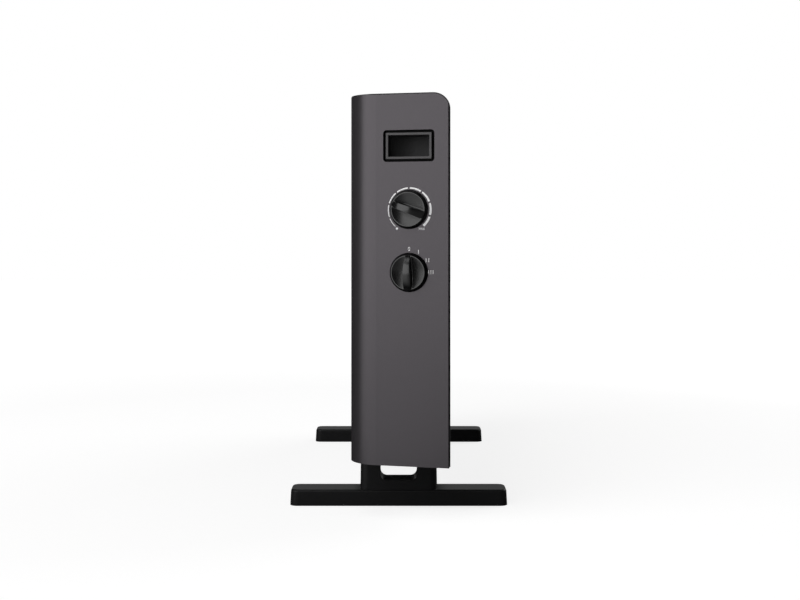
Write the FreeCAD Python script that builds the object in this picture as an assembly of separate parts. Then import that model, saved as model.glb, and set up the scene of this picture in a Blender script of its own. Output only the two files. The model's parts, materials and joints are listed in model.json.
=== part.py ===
import FreeCAD, Part

import math
import os

# Free-standing convector heater, in millimetres.
# +Z is up, the front wall faces -Y and the controls are on the +X end.
# The origin is on the floor, midway between the two feet.

Vec = FreeCAD.Vector

# Casing: one steel sheet bent round the front and both flared ends
BODY_LENGTH = 600.0         # across the rear corners of the end walls
BODY_DEPTH = 99.5           # front wall to rear flanges, outside
FRONT_REACH = 49.1          # front wall ahead of the feet's centre line
BODY_BOTTOM = 55.6          # lower edge above the floor
BODY_HEIGHT = 373.4         # lower edge to upper edge
END_FLARE = 13.5            # degrees that each end wall opens towards the rear
FRONT_CORNER_R = 34.0       # upright bend between the front and an end
REAR_CORNER_R = 1.2         # bend between an end and its rear flange
TOP_REAR_R = 16.3           # rounded upper rear corner of the end walls
CASING_SHEET = 0.8
REAR_FLANGE = 16.0          # flange that the rear cover is screwed to
FRONT_LIP = 6.0             # return lips along the front wall

# Rear cover: one sheet that forms the back, the bend and the top
COVER_SHEET = 1.0
COVER_INSET = 0.3           # its edges lie this far inside the casing's skin
COVER_EDGE_R = 1.0          # rounded corners of the back sheet
COVER_LIP = 9.0             # return lip under the bottom plate
COVER_SCREWS_PER_SIDE = 4
COVER_SCREW_MARGIN = 28.0   # first and last screw from the ends of the flange

# Intake slots in the back
VENT_ROWS = 2
VENT_END_MARGIN = 114.0
VENT_PITCH = 10.0
VENT_SLOT_WIDTH = 4.0
VENT_SLOT_HEIGHT = 34.0
VENT_ROW_GAP = 9.0
VENT_ABOVE_PLATE = 20.0

# Bottom plate
PLATE_RECESS = 2.4          # its underside above the casing's lower edge
PLATE_SHEET = 0.8
INTAKE_ROWS = 4
INTAKE_END_MARGIN = 138.0
INTAKE_ROW_PITCH = 16.0
INTAKE_COLUMN_PITCH = 46.0
INTAKE_SLOT_LENGTH = 38.0
INTAKE_SLOT_WIDTH = 6.0
PLATE_SCREW_X = 120.0

# Outlet grille in the top
OUTLET_END_MARGIN = 74.0    # opening's ends from the body's rear corners
OUTLET_WIDTH = 54.0
OUTLET_CORNER_R = 6.0
GRILLE_RIM = 4.0            # rim's overlap on the sheet
GRILLE_RIM_HEIGHT = 1.6
GRILLE_RIM_EDGE_R = 0.8
GRILLE_DEPTH = 9.0          # skirt below the sheet's upper face
GRILLE_WALL = 2.0
SLAT_COUNT = 6
SLAT_THICKNESS = 1.8
SLAT_HEIGHT = 7.6
SLAT_TILT = 24.0
RIB_COUNT = 10
RIB_THICKNESS = 1.6
RIB_HEIGHT = 6.0
CLIP_COUNT = 5              # snap hooks along each long side
CLIP_LENGTH = 10.0
CLIP_REACH = 1.2
CLIP_HEIGHT = 2.4

# Recessed carrying handles, one in each end
CONTROL_LINE = 40.2         # knobs ahead of the rear flanges
HANDLE_AHEAD = 0.3          # handle's middle ahead of the knobs' line
HANDLE_BELOW_TOP = 52.0
HANDLE_WIDTH = 42.5         # mouth of the finger recess
HANDLE_HEIGHT = 21.8
HANDLE_DEPTH = 27.0
HANDLE_SAG = 15.0           # depth of the hollow's round back
HANDLE_WALL = 1.8
GROOVE_REACH = 5.1          # outer edge of the groove round the mouth, from the mouth
GROOVE_CORNER_R = 3.4
GROOVE_DEPTH = 5.0
GROOVE_WALL = 1.4
HANDLE_FLANGE = 4.0         # flange behind the end wall, beyond the groove
HANDLE_FLANGE_SHEET = 1.8
FRAME_WIDTH = 2.4           # graphite frame between groove and mouth
FRAME_PROUD = 0.3           # frame's face in front of the end wall
FRAME_HEIGHT = 4.4
FRAME_BEVEL = 0.35

# Knobs
THERMOSTAT_BELOW_HANDLE = 63.8
SELECTOR_BELOW_THERMOSTAT = 63.1
KNOB_R = 19.7
KNOB_GAP = 0.6              # between knob and end wall
KNOB_SKIRT = 5.4
KNOB_DRAFT = 2.5            # how much the skirt draws in towards its face
KNOB_DOME = 8.6             # crown of the grip bar above the skirt's face
KNOB_LIP = 0.7              # thin flat ring left round the finger scoops
KNOB_BAR = 6.4              # width of the grip bar at its crown
KNOB_BAR_TAPER = 2.4        # degrees that each flank turns in towards the pointer
SCOOP_DROP = 3.0            # depth of the round bowl that the scoops are cut from
SCOOP_R = 1.2               # hollow at the grip bar's foot
POINTER_WIDTH = 1.3
POINTER_LENGTH = 6.5
POINTER_DEPTH = 0.5
KNOB_WALL = 2.0
KNOB_HUB_R = 6.0
KNOB_HOLLOW = 1.2           # hollow under the skirt
THERMOSTAT_REST = -70.0     # pointer's clockwise angle from 12 o'clock, as photographed
SELECTOR_REST = 0.0

# Spindles and what they turn
SPINDLE_R = 2.4
SPINDLE_FLAT = 1.4          # flat of the D section from the axis
SPINDLE_GRIP = 9.5          # length inside a knob, above the end wall
PANEL_HOLE_R = 5.0
CONTROL_SCREW_PITCH = 24.0
THERMOSTAT_WIDTH = 22.0
THERMOSTAT_HEIGHT = 42.0
THERMOSTAT_FRAME_SHEET = 1.4
THERMOSTAT_STANDOFF = 20.0  # end wall to the ceramic base
THERMOSTAT_BUSH_R = 5.4
THERMOSTAT_BUSH = 9.0
THERMOSTAT_BASE = 8.0
BIMETAL_WIDTH = 8.0
BIMETAL_SHEET = 0.8
BIMETAL_POST = 7.0
SPINDLE_TIP_GAP = 0.3
SELECTOR_SIZE = 34.0
SELECTOR_FRONT = 5.0
SELECTOR_CAVITY = 9.0
SELECTOR_WALL = 3.0
SELECTOR_BACK = 4.0
CAM_LOBES = 4
CAM_LOBE_R = 2.6
CAM_END_GAP = 0.4
BLADE_WIDTH = 6.3
BLADE_SHEET = 0.8
BLADE_LENGTH = 9.0
BLADE_PITCH = 14.0

# Feet
FOOT_FROM_END = 100.0       # a foot's middle from the body's rear corner
FOOT_LENGTH = 231.5
FOOT_THICKNESS = 34.0
FOOT_BASE = 17.0
FOOT_DRAFT = 0.9            # how much each end leans in towards the top
FOOT_PLAN_R = 8.0
FOOT_EDGE_R = 2.2
FOOT_WALL = 2.6
FOOT_CELLS = 3
NECK_WIDTH = 82.2
NECK_THICKNESS = 31.0
NECK_CORNER_R = 7.5
NECK_TAPER = 0.8            # how much narrower each side is at the top
WINDOW_WIDTH = 39.2
WINDOW_BOTTOM = 26.8
WINDOW_HEIGHT = 20.0
WINDOW_R = 7.0
FOOT_SCREW_GRIP = 10.0      # plastic under the bottom plate that a screw clamps

# Partition, bracket and heating elements
PARTITION_FROM_FOOT = 5.0
BRACKET_SHEET = 1.0
BRACKET_FLANGE = 14.0
BRACKET_HEIGHT = 128.0
SHIELD_GAP = 8.0            # heat shield behind the front wall
SHIELD_SHEET = 0.5
SHIELD_LIFT = 14.0
SHIELD_HEIGHT = 240.0
ELEMENT_LIFT = 46.0         # lower element above the bottom plate
ELEMENT_PITCH = 42.0
ELEMENT_R = 4.0
ELEMENT_OVERHANG = 12.0     # sheath beyond its bracket
FIN_WIDTH = 52.0
FIN_HEIGHT = 34.0
FIN_SHEET = 0.5
FIN_PITCH = 9.0
FIN_END_GAP = 14.0
BUSH_NECK_R = 6.5
BUSH_FLANGE_R = 9.0
BUSH_FLANGE = 2.5
STUD_R = 2.0
STUD_LENGTH = 11.0
STUD_NUT_R = 4.0
STUD_NUT = 3.2
LINK_WIDTH = 9.0
LINK_SHEET = 1.0

# Thermal cut-out, terminal block, cord gland
CUTOUT_R = 7.5
CUTOUT_FLANGE_R = 9.5
CUTOUT_FLANGE = 1.0
CUTOUT_CAP = 3.0
CUTOUT_BODY = 9.0
CUTOUT_BELOW_SELECTOR = 55.0
CUTOUT_FORWARD = 24.0       # ahead of the elements
BLOCK_LENGTH = 38.0
BLOCK_WIDTH = 18.0
BLOCK_HEIGHT = 16.0
BLOCK_POLES = 3
BLOCK_FROM_REAR = 30.0
GLAND_BORE_R = 3.6
GLAND_NECK_R = 6.0
GLAND_FLANGE_R = 9.0
GLAND_FLANGE = 2.2
GLAND_FROM_PARTITION = 6.0
GLAND_LIFT = 42.0           # above the bottom plate
GROMMET_NECK_R = 3.0
GROMMET_FLANGE_R = 4.5
GROMMET_FLANGE = 1.2
TAG_WIDTH = 8.0             # earth tag under its screw
TAG_LENGTH = 18.0
TAG_SHEET = 0.8
TAG_LIFT = 20.0

# Fasteners and fits
FIT = 0.2                   # gap between neighbours that are fitted together
RUN_FIT = 0.05              # radial clearance of a spindle in its bush
HOLE_FIT = 0.1              # radial clearance of a fastener in its hole
SMALL_SCREW = (2.8, 1.8, 1.5)    # head radius, head height and shank radius
FLUSH_SCREW = (2.8, 1.5, 1.4)    # the same of a countersunk screw
FOOT_SCREW = (4.0, 3.0, 2.0)
RIVET = (2.6, 1.0, 1.5)
SCREW_TIP = 3.0             # thread beyond what it clamps
LEAD_R = 1.3
LEAD_STUB = 12.0            # straight run from a terminal to the first bend

# Places that follow from the sizes above
FRONT_Y = -FRONT_REACH
REAR_Y = FRONT_Y + BODY_DEPTH
MIDDLE_Y = (FRONT_Y + REAR_Y) / 2
TOP_Z = BODY_BOTTOM + BODY_HEIGHT
SHEET_TOP_Z = TOP_Z + COVER_SHEET
OUTLET_LENGTH = BODY_LENGTH - 2 * OUTLET_END_MARGIN
PLATE_Z = BODY_BOTTOM + PLATE_RECESS
PLATE_TOP_Z = PLATE_Z + PLATE_SHEET
FLARE = math.radians(END_FLARE)
CONTROL_Y = REAR_Y - CONTROL_LINE
HANDLE_Z = TOP_Z - HANDLE_BELOW_TOP
THERMOSTAT_Z = HANDLE_Z - THERMOSTAT_BELOW_HANDLE
SELECTOR_Z = THERMOSTAT_Z - SELECTOR_BELOW_THERMOSTAT
FOOT_X = BODY_LENGTH / 2 - FOOT_FROM_END
PARTITION_X = FOOT_X + FOOT_THICKNESS / 2 + PARTITION_FROM_FOOT
SHIELD_Y = FRONT_Y + CASING_SHEET + SHIELD_GAP
OUTLET_Y = (FRONT_Y + REAR_Y - TOP_REAR_R) / 2
LOWER_ELEMENT_Z = PLATE_TOP_Z + ELEMENT_LIFT
UPPER_ELEMENT_Z = LOWER_ELEMENT_Z + ELEMENT_PITCH
ELEMENT_END_X = PARTITION_X + ELEMENT_OVERHANG
CUTOUT_Z = SELECTOR_Z - CUTOUT_BELOW_SELECTOR
CUTOUT_Y = MIDDLE_Y - CUTOUT_FORWARD
KNOB_FACE = KNOB_GAP + KNOB_SKIRT
KNOB_TOP = KNOB_FACE + KNOB_DOME


# Drawing helpers

def xy(u, v):
    return Vec(u, v, 0)


def yz(u, v):
    return Vec(0, u, v)


def xz(u, v):
    return Vec(u, 0, v)


def outline(points, radii, plane=xy):
    """A closed wire through 2-D corner points, each rounded by its own radius."""
    corners = [plane(*p) for p in points]
    stops = []
    for i, corner in enumerate(corners):
        before = (corners[i - 1] - corner).normalize()
        after = (corners[(i + 1) % len(corners)] - corner).normalize()
        half = before.getAngle(after) / 2
        reach = radii[i] / math.tan(half)
        bisector = (before + after).normalize()
        centre = corner + bisector * (radii[i] / math.sin(half))
        stops.append((corner + before * reach, centre - bisector * radii[i], corner + after * reach, radii[i]))
    edges = []
    for i, (start, middle, end, radius) in enumerate(stops):
        if radius > 0:
            edges.append(Part.Arc(start, middle, end).toShape())
        edges.append(Part.LineSegment(end, stops[(i + 1) % len(stops)][0]).toShape())
    return Part.Wire(edges)


def rectangle(width, height, radius=0.0, centre=(0.0, 0.0), plane=xy):
    """A closed rectangle with equal round corners."""
    u, v = centre
    a, b = width / 2, height / 2
    return outline([(u - a, v - b), (u + a, v - b), (u + a, v + b), (u - a, v + b)], [radius] * 4, plane)


def prism(wire, start, end, direction):
    """The area inside a wire, carried from start to end along a direction."""
    face = Part.Face(wire)
    face.translate(direction * start)
    return face.extrude(direction * (end - start))


def upright(wire, low, high):
    return prism(wire, low, high, Vec(0, 0, 1))


def lengthwise(wire, low, high):
    return prism(wire, low, high, Vec(1, 0, 0))


def box(x, y, z):
    """A box from (low, high) pairs."""
    return Part.makeBox(x[1] - x[0], y[1] - y[0], z[1] - z[0], Vec(x[0], y[0], z[0]))


def rod(radius, start, end):
    """A round bar between two points."""
    axis = end - start
    return Part.makeCylinder(radius, axis.Length, start, axis)


def fuse(shapes):
    return shapes[0].multiFuse(shapes[1:]).removeSplitter()


def spread(count, low, high):
    """Evenly spaced values from low to high."""
    return [low + (high - low) * i / (count - 1) for i in range(count)]


def mirrored(shape):
    """The same piece at the other end of the heater."""
    return shape.mirror(Vec(0, 0, 0), Vec(1, 0, 0))


# The plan of the body and the flared ends

def side_x(y, inset=0.0):
    """Half length of the body at depth y, measured `inset` inside its skin."""
    return BODY_LENGTH / 2 - (REAR_Y - y) * math.tan(FLARE) - inset / math.cos(FLARE)


def plan(inset, rear_y, rear_r):
    """Plan outline of the body, `inset` inside the skin, closed along rear_y."""
    front_y = FRONT_Y + inset
    corners = [
        (-side_x(front_y, inset), front_y),
        (side_x(front_y, inset), front_y),
        (side_x(rear_y, inset), rear_y),
        (-side_x(rear_y, inset), rear_y),
    ]
    front_r = FRONT_CORNER_R - inset
    return outline(corners, [front_r, front_r, rear_r, rear_r])


def end_profile(growth):
    """Side view of the body from behind its front wall, grown over the top and the back."""
    beyond = BODY_BOTTOM / 2
    corners = [
        (FRONT_Y - beyond, BODY_BOTTOM - beyond),
        (REAR_Y + growth, BODY_BOTTOM - beyond),
        (REAR_Y + growth, TOP_Z + growth),
        (FRONT_Y - beyond, TOP_Z + growth),
    ]
    profile = outline(corners, [0, 0, TOP_REAR_R + growth, 0], yz)
    return lengthwise(profile, -BODY_LENGTH, BODY_LENGTH)


def end_place(z):
    """Frame on the control end's outer face: x towards the rear, y up and z outwards."""
    along = Vec(math.sin(FLARE), math.cos(FLARE), 0)
    outwards = Vec(math.cos(FLARE), -math.sin(FLARE), 0)
    turn = FreeCAD.Rotation(along, Vec(0, 0, 1), outwards, "ZXY")
    return FreeCAD.Placement(Vec(side_x(CONTROL_Y), CONTROL_Y, z), turn)


def on_end(shape, z):
    """A piece drawn in the end's frame, moved to its place."""
    placed = shape.copy()
    placed.Placement = end_place(z).multiply(shape.Placement)
    return placed


def at_handle(shape):
    """A piece of the handle, drawn in the end's frame round the mouth's middle, moved to its place."""
    ahead = shape.copy()
    ahead.translate(Vec(-HANDLE_AHEAD, 0, 0))
    return on_end(ahead, HANDLE_Z)


def turned(shape, clockwise):
    """A piece drawn in the end's frame, turned clockwise as its user sees it."""
    placed = shape.copy()
    placed.rotate(Vec(0, 0, 0), Vec(0, 0, 1), -clockwise)
    return placed


# Fasteners

def screw(size, grip):
    """A cross-head screw along -Z with its head on Z = 0, through `grip` of material."""
    head_r, head_h, shank_r = size
    head = Part.makeCylinder(head_r, head_h)
    head = head.makeFillet(head_h * 0.45, [e for e in head.Edges if e.BoundBox.ZMin > head_h / 2 and e.Closed])
    shank = Part.makeCylinder(shank_r, grip + SCREW_TIP, Vec(0, 0, -grip - SCREW_TIP))
    blank = head.fuse(shank).removeSplitter()
    slot_width, slot_depth = head_r * 0.3, head_h * 0.55
    reach = head_r * 0.6
    cross = [
        box((-reach, reach), (-slot_width / 2, slot_width / 2), (head_h - slot_depth, head_h * 2)),
        box((-slot_width / 2, slot_width / 2), (-reach, reach), (head_h - slot_depth, head_h * 2)),
    ]
    return blank.cut(cross)


def flush_shape(size, length, growth):
    """A countersunk screw's outline along -Z with its head's face on Z = 0, grown all round."""
    head_r, head_h, shank_r = size
    head = Part.makeCone(shank_r + growth, head_r + growth, head_h, Vec(0, 0, -head_h))
    shank = Part.makeCylinder(shank_r + growth, length, Vec(0, 0, -length))
    return head.fuse(shank).removeSplitter()


def flush_screw(size, grip):
    """A countersunk cross-head screw through `grip` of material."""
    head_r, head_h, shank_r = size
    slot, depth, reach = head_r * 0.28, head_h * 0.55, head_r * 0.6
    cross = [
        box((-reach, reach), (-slot / 2, slot / 2), (-depth, head_h)),
        box((-slot / 2, slot / 2), (-reach, reach), (-depth, head_h)),
    ]
    return flush_shape(size, grip + SCREW_TIP, 0).cut(cross)


def rivet(grip):
    """A rivet along -Z with both heads formed, through `grip` of material."""
    head_r, head_h, shank_r = RIVET
    return fuse([
        Part.makeCylinder(head_r, head_h),
        Part.makeCylinder(shank_r, grip, Vec(0, 0, -grip)),
        Part.makeCylinder(head_r, head_h, Vec(0, 0, -grip - head_h)),
    ])


def aimed(shape, place, direction):
    """A fastener moved to a place with its head towards a direction."""
    placed = shape.copy()
    placed.Placement = FreeCAD.Placement(place, FreeCAD.Rotation(Vec(0, 0, 1), direction))
    return placed


def hole(radius, place, direction, length):
    """A round hole centred on a place, through material on both sides of it."""
    reach = Vec(direction).normalize() * length
    return rod(radius, place - reach, place + reach)


def cover_screw_places():
    """Where the rear cover is screwed to the casing's rear flanges."""
    x = side_x(REAR_Y) - REAR_FLANGE / 2
    heights = spread(
        COVER_SCREWS_PER_SIDE,
        PLATE_Z + COVER_SCREW_MARGIN,
        TOP_Z - TOP_REAR_R - COVER_SCREW_MARGIN,
    )
    return [Vec(side * x, REAR_Y + COVER_SHEET, z) for side in (-1, 1) for z in heights]


def plate_screw_places():
    """Where the bottom plate is screwed to the lips, from below."""
    front = (FRONT_Y + CASING_SHEET + FRONT_LIP / 2, PLATE_Z - CASING_SHEET)
    rear = (REAR_Y - COVER_LIP / 2, PLATE_Z - COVER_SHEET)
    return [Vec(side * PLATE_SCREW_X, y, z) for y, z in (front, rear) for side in (-1, 1)]


def foot_screw_places():
    """Where each foot is screwed up into the bottom plate: the heads' seats."""
    y = (WINDOW_WIDTH + NECK_WIDTH) / 4
    return [Vec(end * FOOT_X, side * y, PLATE_Z - FOOT_SCREW_GRIP) for end in (-1, 1) for side in (-1, 1)]


def partition_screw_places():
    """Where the partition's and the bracket's flanges are screwed to the bottom plate."""
    x = PARTITION_X + BRACKET_SHEET + BRACKET_FLANGE / 2
    ys = (MIDDLE_Y - BODY_DEPTH / 4, MIDDLE_Y + BODY_DEPTH / 4)
    return [Vec(end * x, y, PLATE_TOP_Z + BRACKET_SHEET) for end in (-1, 1) for y in ys]


def shield_rivet_places():
    """Where the heat shield is riveted to the front flanges behind it."""
    x = PARTITION_X + BRACKET_SHEET + BRACKET_FLANGE / 2
    low = PLATE_TOP_Z + SHIELD_LIFT + BRACKET_HEIGHT / 8
    high = PLATE_TOP_Z + BRACKET_HEIGHT - BRACKET_HEIGHT / 8
    return [Vec(end * x, SHIELD_Y - SHIELD_SHEET, z) for end in (-1, 1) for z in (low, high)]


def foot_notch(end):
    """Room for a foot's neck where it passes the lips."""
    half = NECK_THICKNESS / 2 + FIT
    return box(
        (end * FOOT_X - half, end * FOOT_X + half),
        (-NECK_WIDTH / 2 - FIT, NECK_WIDTH / 2 + FIT),
        (BODY_BOTTOM - PLATE_RECESS, PLATE_Z + PLATE_RECESS),
    )


# Casing shells

def front_casing():
    """Graphite sheet: front wall, two flared ends, rear flanges and the front wall's lips."""
    skin = upright(plan(0, REAR_Y, REAR_CORNER_R), BODY_BOTTOM, TOP_Z)
    inside_rear = REAR_Y - CASING_SHEET
    inside = upright(plan(CASING_SHEET, inside_rear, REAR_CORNER_R - CASING_SHEET), BODY_BOTTOM, TOP_Z)
    opening = side_x(REAR_Y) - REAR_FLANGE
    shell = skin.cut([
        inside,
        box((-opening, opening), (inside_rear - CASING_SHEET, REAR_Y + CASING_SHEET), (BODY_BOTTOM, TOP_Z)),
    ])
    flat_half = side_x(FRONT_Y) - FRONT_CORNER_R * math.tan((math.pi / 2 - FLARE) / 2)
    lip_y = (FRONT_Y + CASING_SHEET, FRONT_Y + CASING_SHEET + FRONT_LIP)
    lips = [
        box((-flat_half, flat_half), lip_y, (PLATE_Z - CASING_SHEET, PLATE_Z)),
        box((-flat_half, flat_half), lip_y, (TOP_Z - CASING_SHEET, TOP_Z)),
    ]
    shell = fuse([shell.common(end_profile(0))] + lips)
    cuts = [foot_notch(end) for end in (-1, 1)]
    window = handle_window()
    cuts += [at_handle(window), mirrored(at_handle(window))]
    for z in (THERMOSTAT_Z, SELECTOR_Z):
        cuts.append(on_end(control_holes(), z))
    shank_r = SMALL_SCREW[2] + HOLE_FIT
    sink = flush_shape(FLUSH_SCREW, REAR_CORNER_R * 2, HOLE_FIT)
    cuts += [aimed(sink, p, Vec(0, 1, 0)) for p in cover_screw_places()]
    cuts += [hole(shank_r, p, Vec(0, 0, 1), PLATE_RECESS) for p in plate_screw_places()]
    return shell.cut(cuts)


def rear_cover():
    """Black sheet: the back, the bend at the upper rear edge and the top in one piece."""
    wrap = end_profile(COVER_SHEET).cut(end_profile(0))
    trim = plan(COVER_INSET, REAR_Y + COVER_SHEET, COVER_EDGE_R)
    sheet = wrap.common(upright(trim, PLATE_Z - COVER_SHEET, SHEET_TOP_Z))
    lip_half = side_x(REAR_Y) - REAR_FLANGE - FIT
    lip = box((-lip_half, lip_half), (REAR_Y - COVER_LIP, REAR_Y + COVER_SHEET / 2), (PLATE_Z - COVER_SHEET, PLATE_Z))
    sheet = fuse([sheet, lip])
    outlet = rectangle(OUTLET_LENGTH, OUTLET_WIDTH, OUTLET_CORNER_R, (0, OUTLET_Y))
    cuts = [upright(outlet, TOP_Z - COVER_SHEET, SHEET_TOP_Z + COVER_SHEET)]
    cuts += [foot_notch(end) for end in (-1, 1)]
    shank_r = SMALL_SCREW[2] + HOLE_FIT
    sink = flush_shape(FLUSH_SCREW, REAR_CORNER_R * 2, HOLE_FIT)
    cuts += [aimed(sink, p, Vec(0, 1, 0)) for p in cover_screw_places()]
    cuts += [hole(shank_r, p, Vec(0, 0, 1), PLATE_RECESS) for p in plate_screw_places()]
    cuts.append(hole(GLAND_NECK_R + HOLE_FIT, gland_place(), Vec(0, 1, 0), COVER_SHEET * 2))
    return sheet.cut(cuts + vent_slots())


def vent_slots():
    """Rows of upright intake slots through the back sheet."""
    count = int((BODY_LENGTH - 2 * VENT_END_MARGIN) // VENT_PITCH) + 1
    first = -(count - 1) * VENT_PITCH / 2
    slots = []
    for row in range(VENT_ROWS):
        z = PLATE_Z + VENT_ABOVE_PLATE + VENT_SLOT_HEIGHT / 2 + row * (VENT_SLOT_HEIGHT + VENT_ROW_GAP)
        for column in range(count):
            wire = rectangle(
                VENT_SLOT_WIDTH, VENT_SLOT_HEIGHT, VENT_SLOT_WIDTH * 0.49, (first + column * VENT_PITCH, z), xz
            )
            slots.append(prism(wire, REAR_Y - COVER_SHEET, REAR_Y + COVER_SHEET * 2, Vec(0, 1, 0)))
    return slots


def bottom_plate():
    """Sheet floor of the casing with its air intake slots."""
    inset = CASING_SHEET + FIT
    sheet = upright(plan(inset, REAR_Y - inset, REAR_CORNER_R - CASING_SHEET), PLATE_Z, PLATE_TOP_Z)
    cuts = []
    columns = int((BODY_LENGTH - 2 * INTAKE_END_MARGIN) // INTAKE_COLUMN_PITCH)
    for i in range(columns):
        x = (i - (columns - 1) / 2) * INTAKE_COLUMN_PITCH
        for j in range(INTAKE_ROWS):
            y = MIDDLE_Y + (j - (INTAKE_ROWS - 1) / 2) * INTAKE_ROW_PITCH
            wire = rectangle(INTAKE_SLOT_LENGTH, INTAKE_SLOT_WIDTH, INTAKE_SLOT_WIDTH * 0.49, (x, y))
            cuts.append(upright(wire, PLATE_Z - PLATE_SHEET, PLATE_TOP_Z + PLATE_SHEET))
    up = Vec(0, 0, 1)
    cuts += [hole(SMALL_SCREW[2] + HOLE_FIT, p, up, PLATE_RECESS * 2) for p in plate_screw_places()]
    cuts += [hole(SMALL_SCREW[2] + HOLE_FIT, p, up, PLATE_RECESS * 2) for p in partition_screw_places()]
    cuts += [hole(FOOT_SCREW[2] + HOLE_FIT, p, up, FOOT_SCREW_GRIP * 2) for p in foot_screw_places()]
    cuts.append(hole(SMALL_SCREW[2] + HOLE_FIT, block_place(), up, PLATE_SHEET * 2))
    return sheet.cut(cuts)


# Outlet grille

def top_grille():
    """Moulded grille: rim on the sheet, skirt in the opening, tilted slats and cross ribs."""
    skirt_length = OUTLET_LENGTH - 2 * FIT
    skirt_width = OUTLET_WIDTH - 2 * FIT
    inner_length = skirt_length - 2 * GRILLE_WALL
    inner_width = skirt_width - 2 * GRILLE_WALL
    inner_r = OUTLET_CORNER_R - GRILLE_WALL - FIT
    centre = (0, OUTLET_Y)
    low = SHEET_TOP_Z - GRILLE_DEPTH
    high = SHEET_TOP_Z + GRILLE_RIM_HEIGHT
    rim = upright(
        rectangle(OUTLET_LENGTH + 2 * GRILLE_RIM, OUTLET_WIDTH + 2 * GRILLE_RIM, OUTLET_CORNER_R + GRILLE_RIM, centre),
        SHEET_TOP_Z,
        high,
    )
    rim = rim.makeFillet(GRILLE_RIM_EDGE_R, [e for e in rim.Edges if e.BoundBox.ZMin > high - FIT])
    skirt = upright(rectangle(skirt_length, skirt_width, OUTLET_CORNER_R - FIT, centre), low, high - GRILLE_RIM_EDGE_R)
    inside = upright(rectangle(inner_length, inner_width, inner_r, centre), low, high + GRILLE_DEPTH)
    frame = fuse([rim, skirt]).cut(inside)
    bars = []
    for i in range(SLAT_COUNT):
        y = OUTLET_Y + inner_width * ((i + 1) / (SLAT_COUNT + 1) - 0.5)
        slat = box(
            (-inner_length / 2 - GRILLE_WALL / 2, inner_length / 2 + GRILLE_WALL / 2),
            (-SLAT_THICKNESS / 2, SLAT_THICKNESS / 2),
            (-SLAT_HEIGHT / 2, SLAT_HEIGHT / 2),
        )
        slat.rotate(Vec(0, 0, 0), Vec(1, 0, 0), SLAT_TILT)
        slat.translate(Vec(0, y, SHEET_TOP_Z - SLAT_HEIGHT / 2))
        bars.append(slat)
    for x in spread(RIB_COUNT, -inner_length / 2 + inner_width / 2, inner_length / 2 - inner_width / 2):
        bars.append(box(
            (x - RIB_THICKNESS / 2, x + RIB_THICKNESS / 2),
            (OUTLET_Y - inner_width / 2 - GRILLE_WALL / 2, OUTLET_Y + inner_width / 2 + GRILLE_WALL / 2),
            (low, low + RIB_HEIGHT),
        ))
    clip_high = TOP_Z - FIT
    for x in spread(CLIP_COUNT, -inner_length / 2 + inner_width / 3, inner_length / 2 - inner_width / 3):
        for side in (-1, 1):
            face = OUTLET_Y + side * skirt_width / 2
            reach = sorted((face - side * GRILLE_WALL / 2, face + side * (CLIP_REACH + FIT)))
            bars.append(box((x - CLIP_LENGTH / 2, x + CLIP_LENGTH / 2), reach, (clip_high - CLIP_HEIGHT, clip_high)))
    return fuse([frame] + bars)


# Recessed handles

def round_mouth(growth, corner_r):
    """Rectangle round the recess's mouth, drawn in the end's frame."""
    return rectangle(HANDLE_WIDTH + 2 * growth, HANDLE_HEIGHT + 2 * growth, corner_r)


def handle_window():
    """Cut-out in an end wall for the handle, drawn in the end's frame."""
    return upright(round_mouth(GROOVE_REACH, GROOVE_CORNER_R), -CASING_SHEET * 3, CASING_SHEET * 3)


def handle_hollow(growth, low_z, high_z):
    """The recess's hollow with its round back, grown by a wall, between two depths."""
    half = HANDLE_WIDTH / 2 + growth
    rise = HANDLE_HEIGHT / 2 + growth
    shoulder = -(HANDLE_DEPTH - HANDLE_SAG)
    wire = Part.Wire([
        Part.LineSegment(xz(-half, high_z), xz(-half, shoulder)).toShape(),
        Part.Arc(xz(-half, shoulder), xz(0, low_z), xz(half, shoulder)).toShape(),
        Part.LineSegment(xz(half, shoulder), xz(half, high_z)).toShape(),
        Part.LineSegment(xz(half, high_z), xz(-half, high_z)).toShape(),
    ])
    return prism(wire, -rise, rise, Vec(0, 1, 0))


def handle_cup():
    """Black moulded finger recess with a groove round its mouth, bonded behind the end wall by its flange."""
    wall_back = -CASING_SHEET
    flange_reach = GROOVE_REACH + HANDLE_FLANGE
    trough_reach = GROOVE_REACH + GROOVE_WALL
    trough_low = -GROOVE_DEPTH - GROOVE_WALL
    ridge_top = FRAME_PROUD - FRAME_HEIGHT
    flange_wire = round_mouth(flange_reach, GROOVE_CORNER_R + HANDLE_FLANGE)
    trough_wire = round_mouth(trough_reach, GROOVE_CORNER_R + GROOVE_WALL)
    ridge_wire = round_mouth(FRAME_WIDTH, FRAME_BEVEL * 2)
    body = fuse([
        upright(flange_wire, wall_back - HANDLE_FLANGE_SHEET, wall_back),
        upright(trough_wire, trough_low, wall_back),
        handle_hollow(HANDLE_WALL, -HANDLE_DEPTH - HANDLE_WALL, trough_low + GROOVE_WALL),
    ])
    groove = upright(round_mouth(GROOVE_REACH, GROOVE_CORNER_R), -GROOVE_DEPTH, GROOVE_DEPTH)
    ridge = upright(ridge_wire, -GROOVE_DEPTH, ridge_top)
    return body.cut([groove.cut(ridge), handle_hollow(0, -HANDLE_DEPTH, HANDLE_DEPTH)])


def handle_frame():
    """Graphite frame bonded on the ridge between groove and mouth, in the end's frame."""
    low, high = FRAME_PROUD - FRAME_HEIGHT, FRAME_PROUD
    blank = upright(round_mouth(FRAME_WIDTH, FRAME_BEVEL * 2), low, high)
    face_edges = [e for e in blank.Edges if e.BoundBox.ZMin > high - FRAME_HEIGHT / 2]
    blank = blank.makeChamfer(FRAME_BEVEL, face_edges)
    return blank.cut(upright(rectangle(HANDLE_WIDTH, HANDLE_HEIGHT), low - FRAME_HEIGHT, high + FRAME_HEIGHT))


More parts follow.
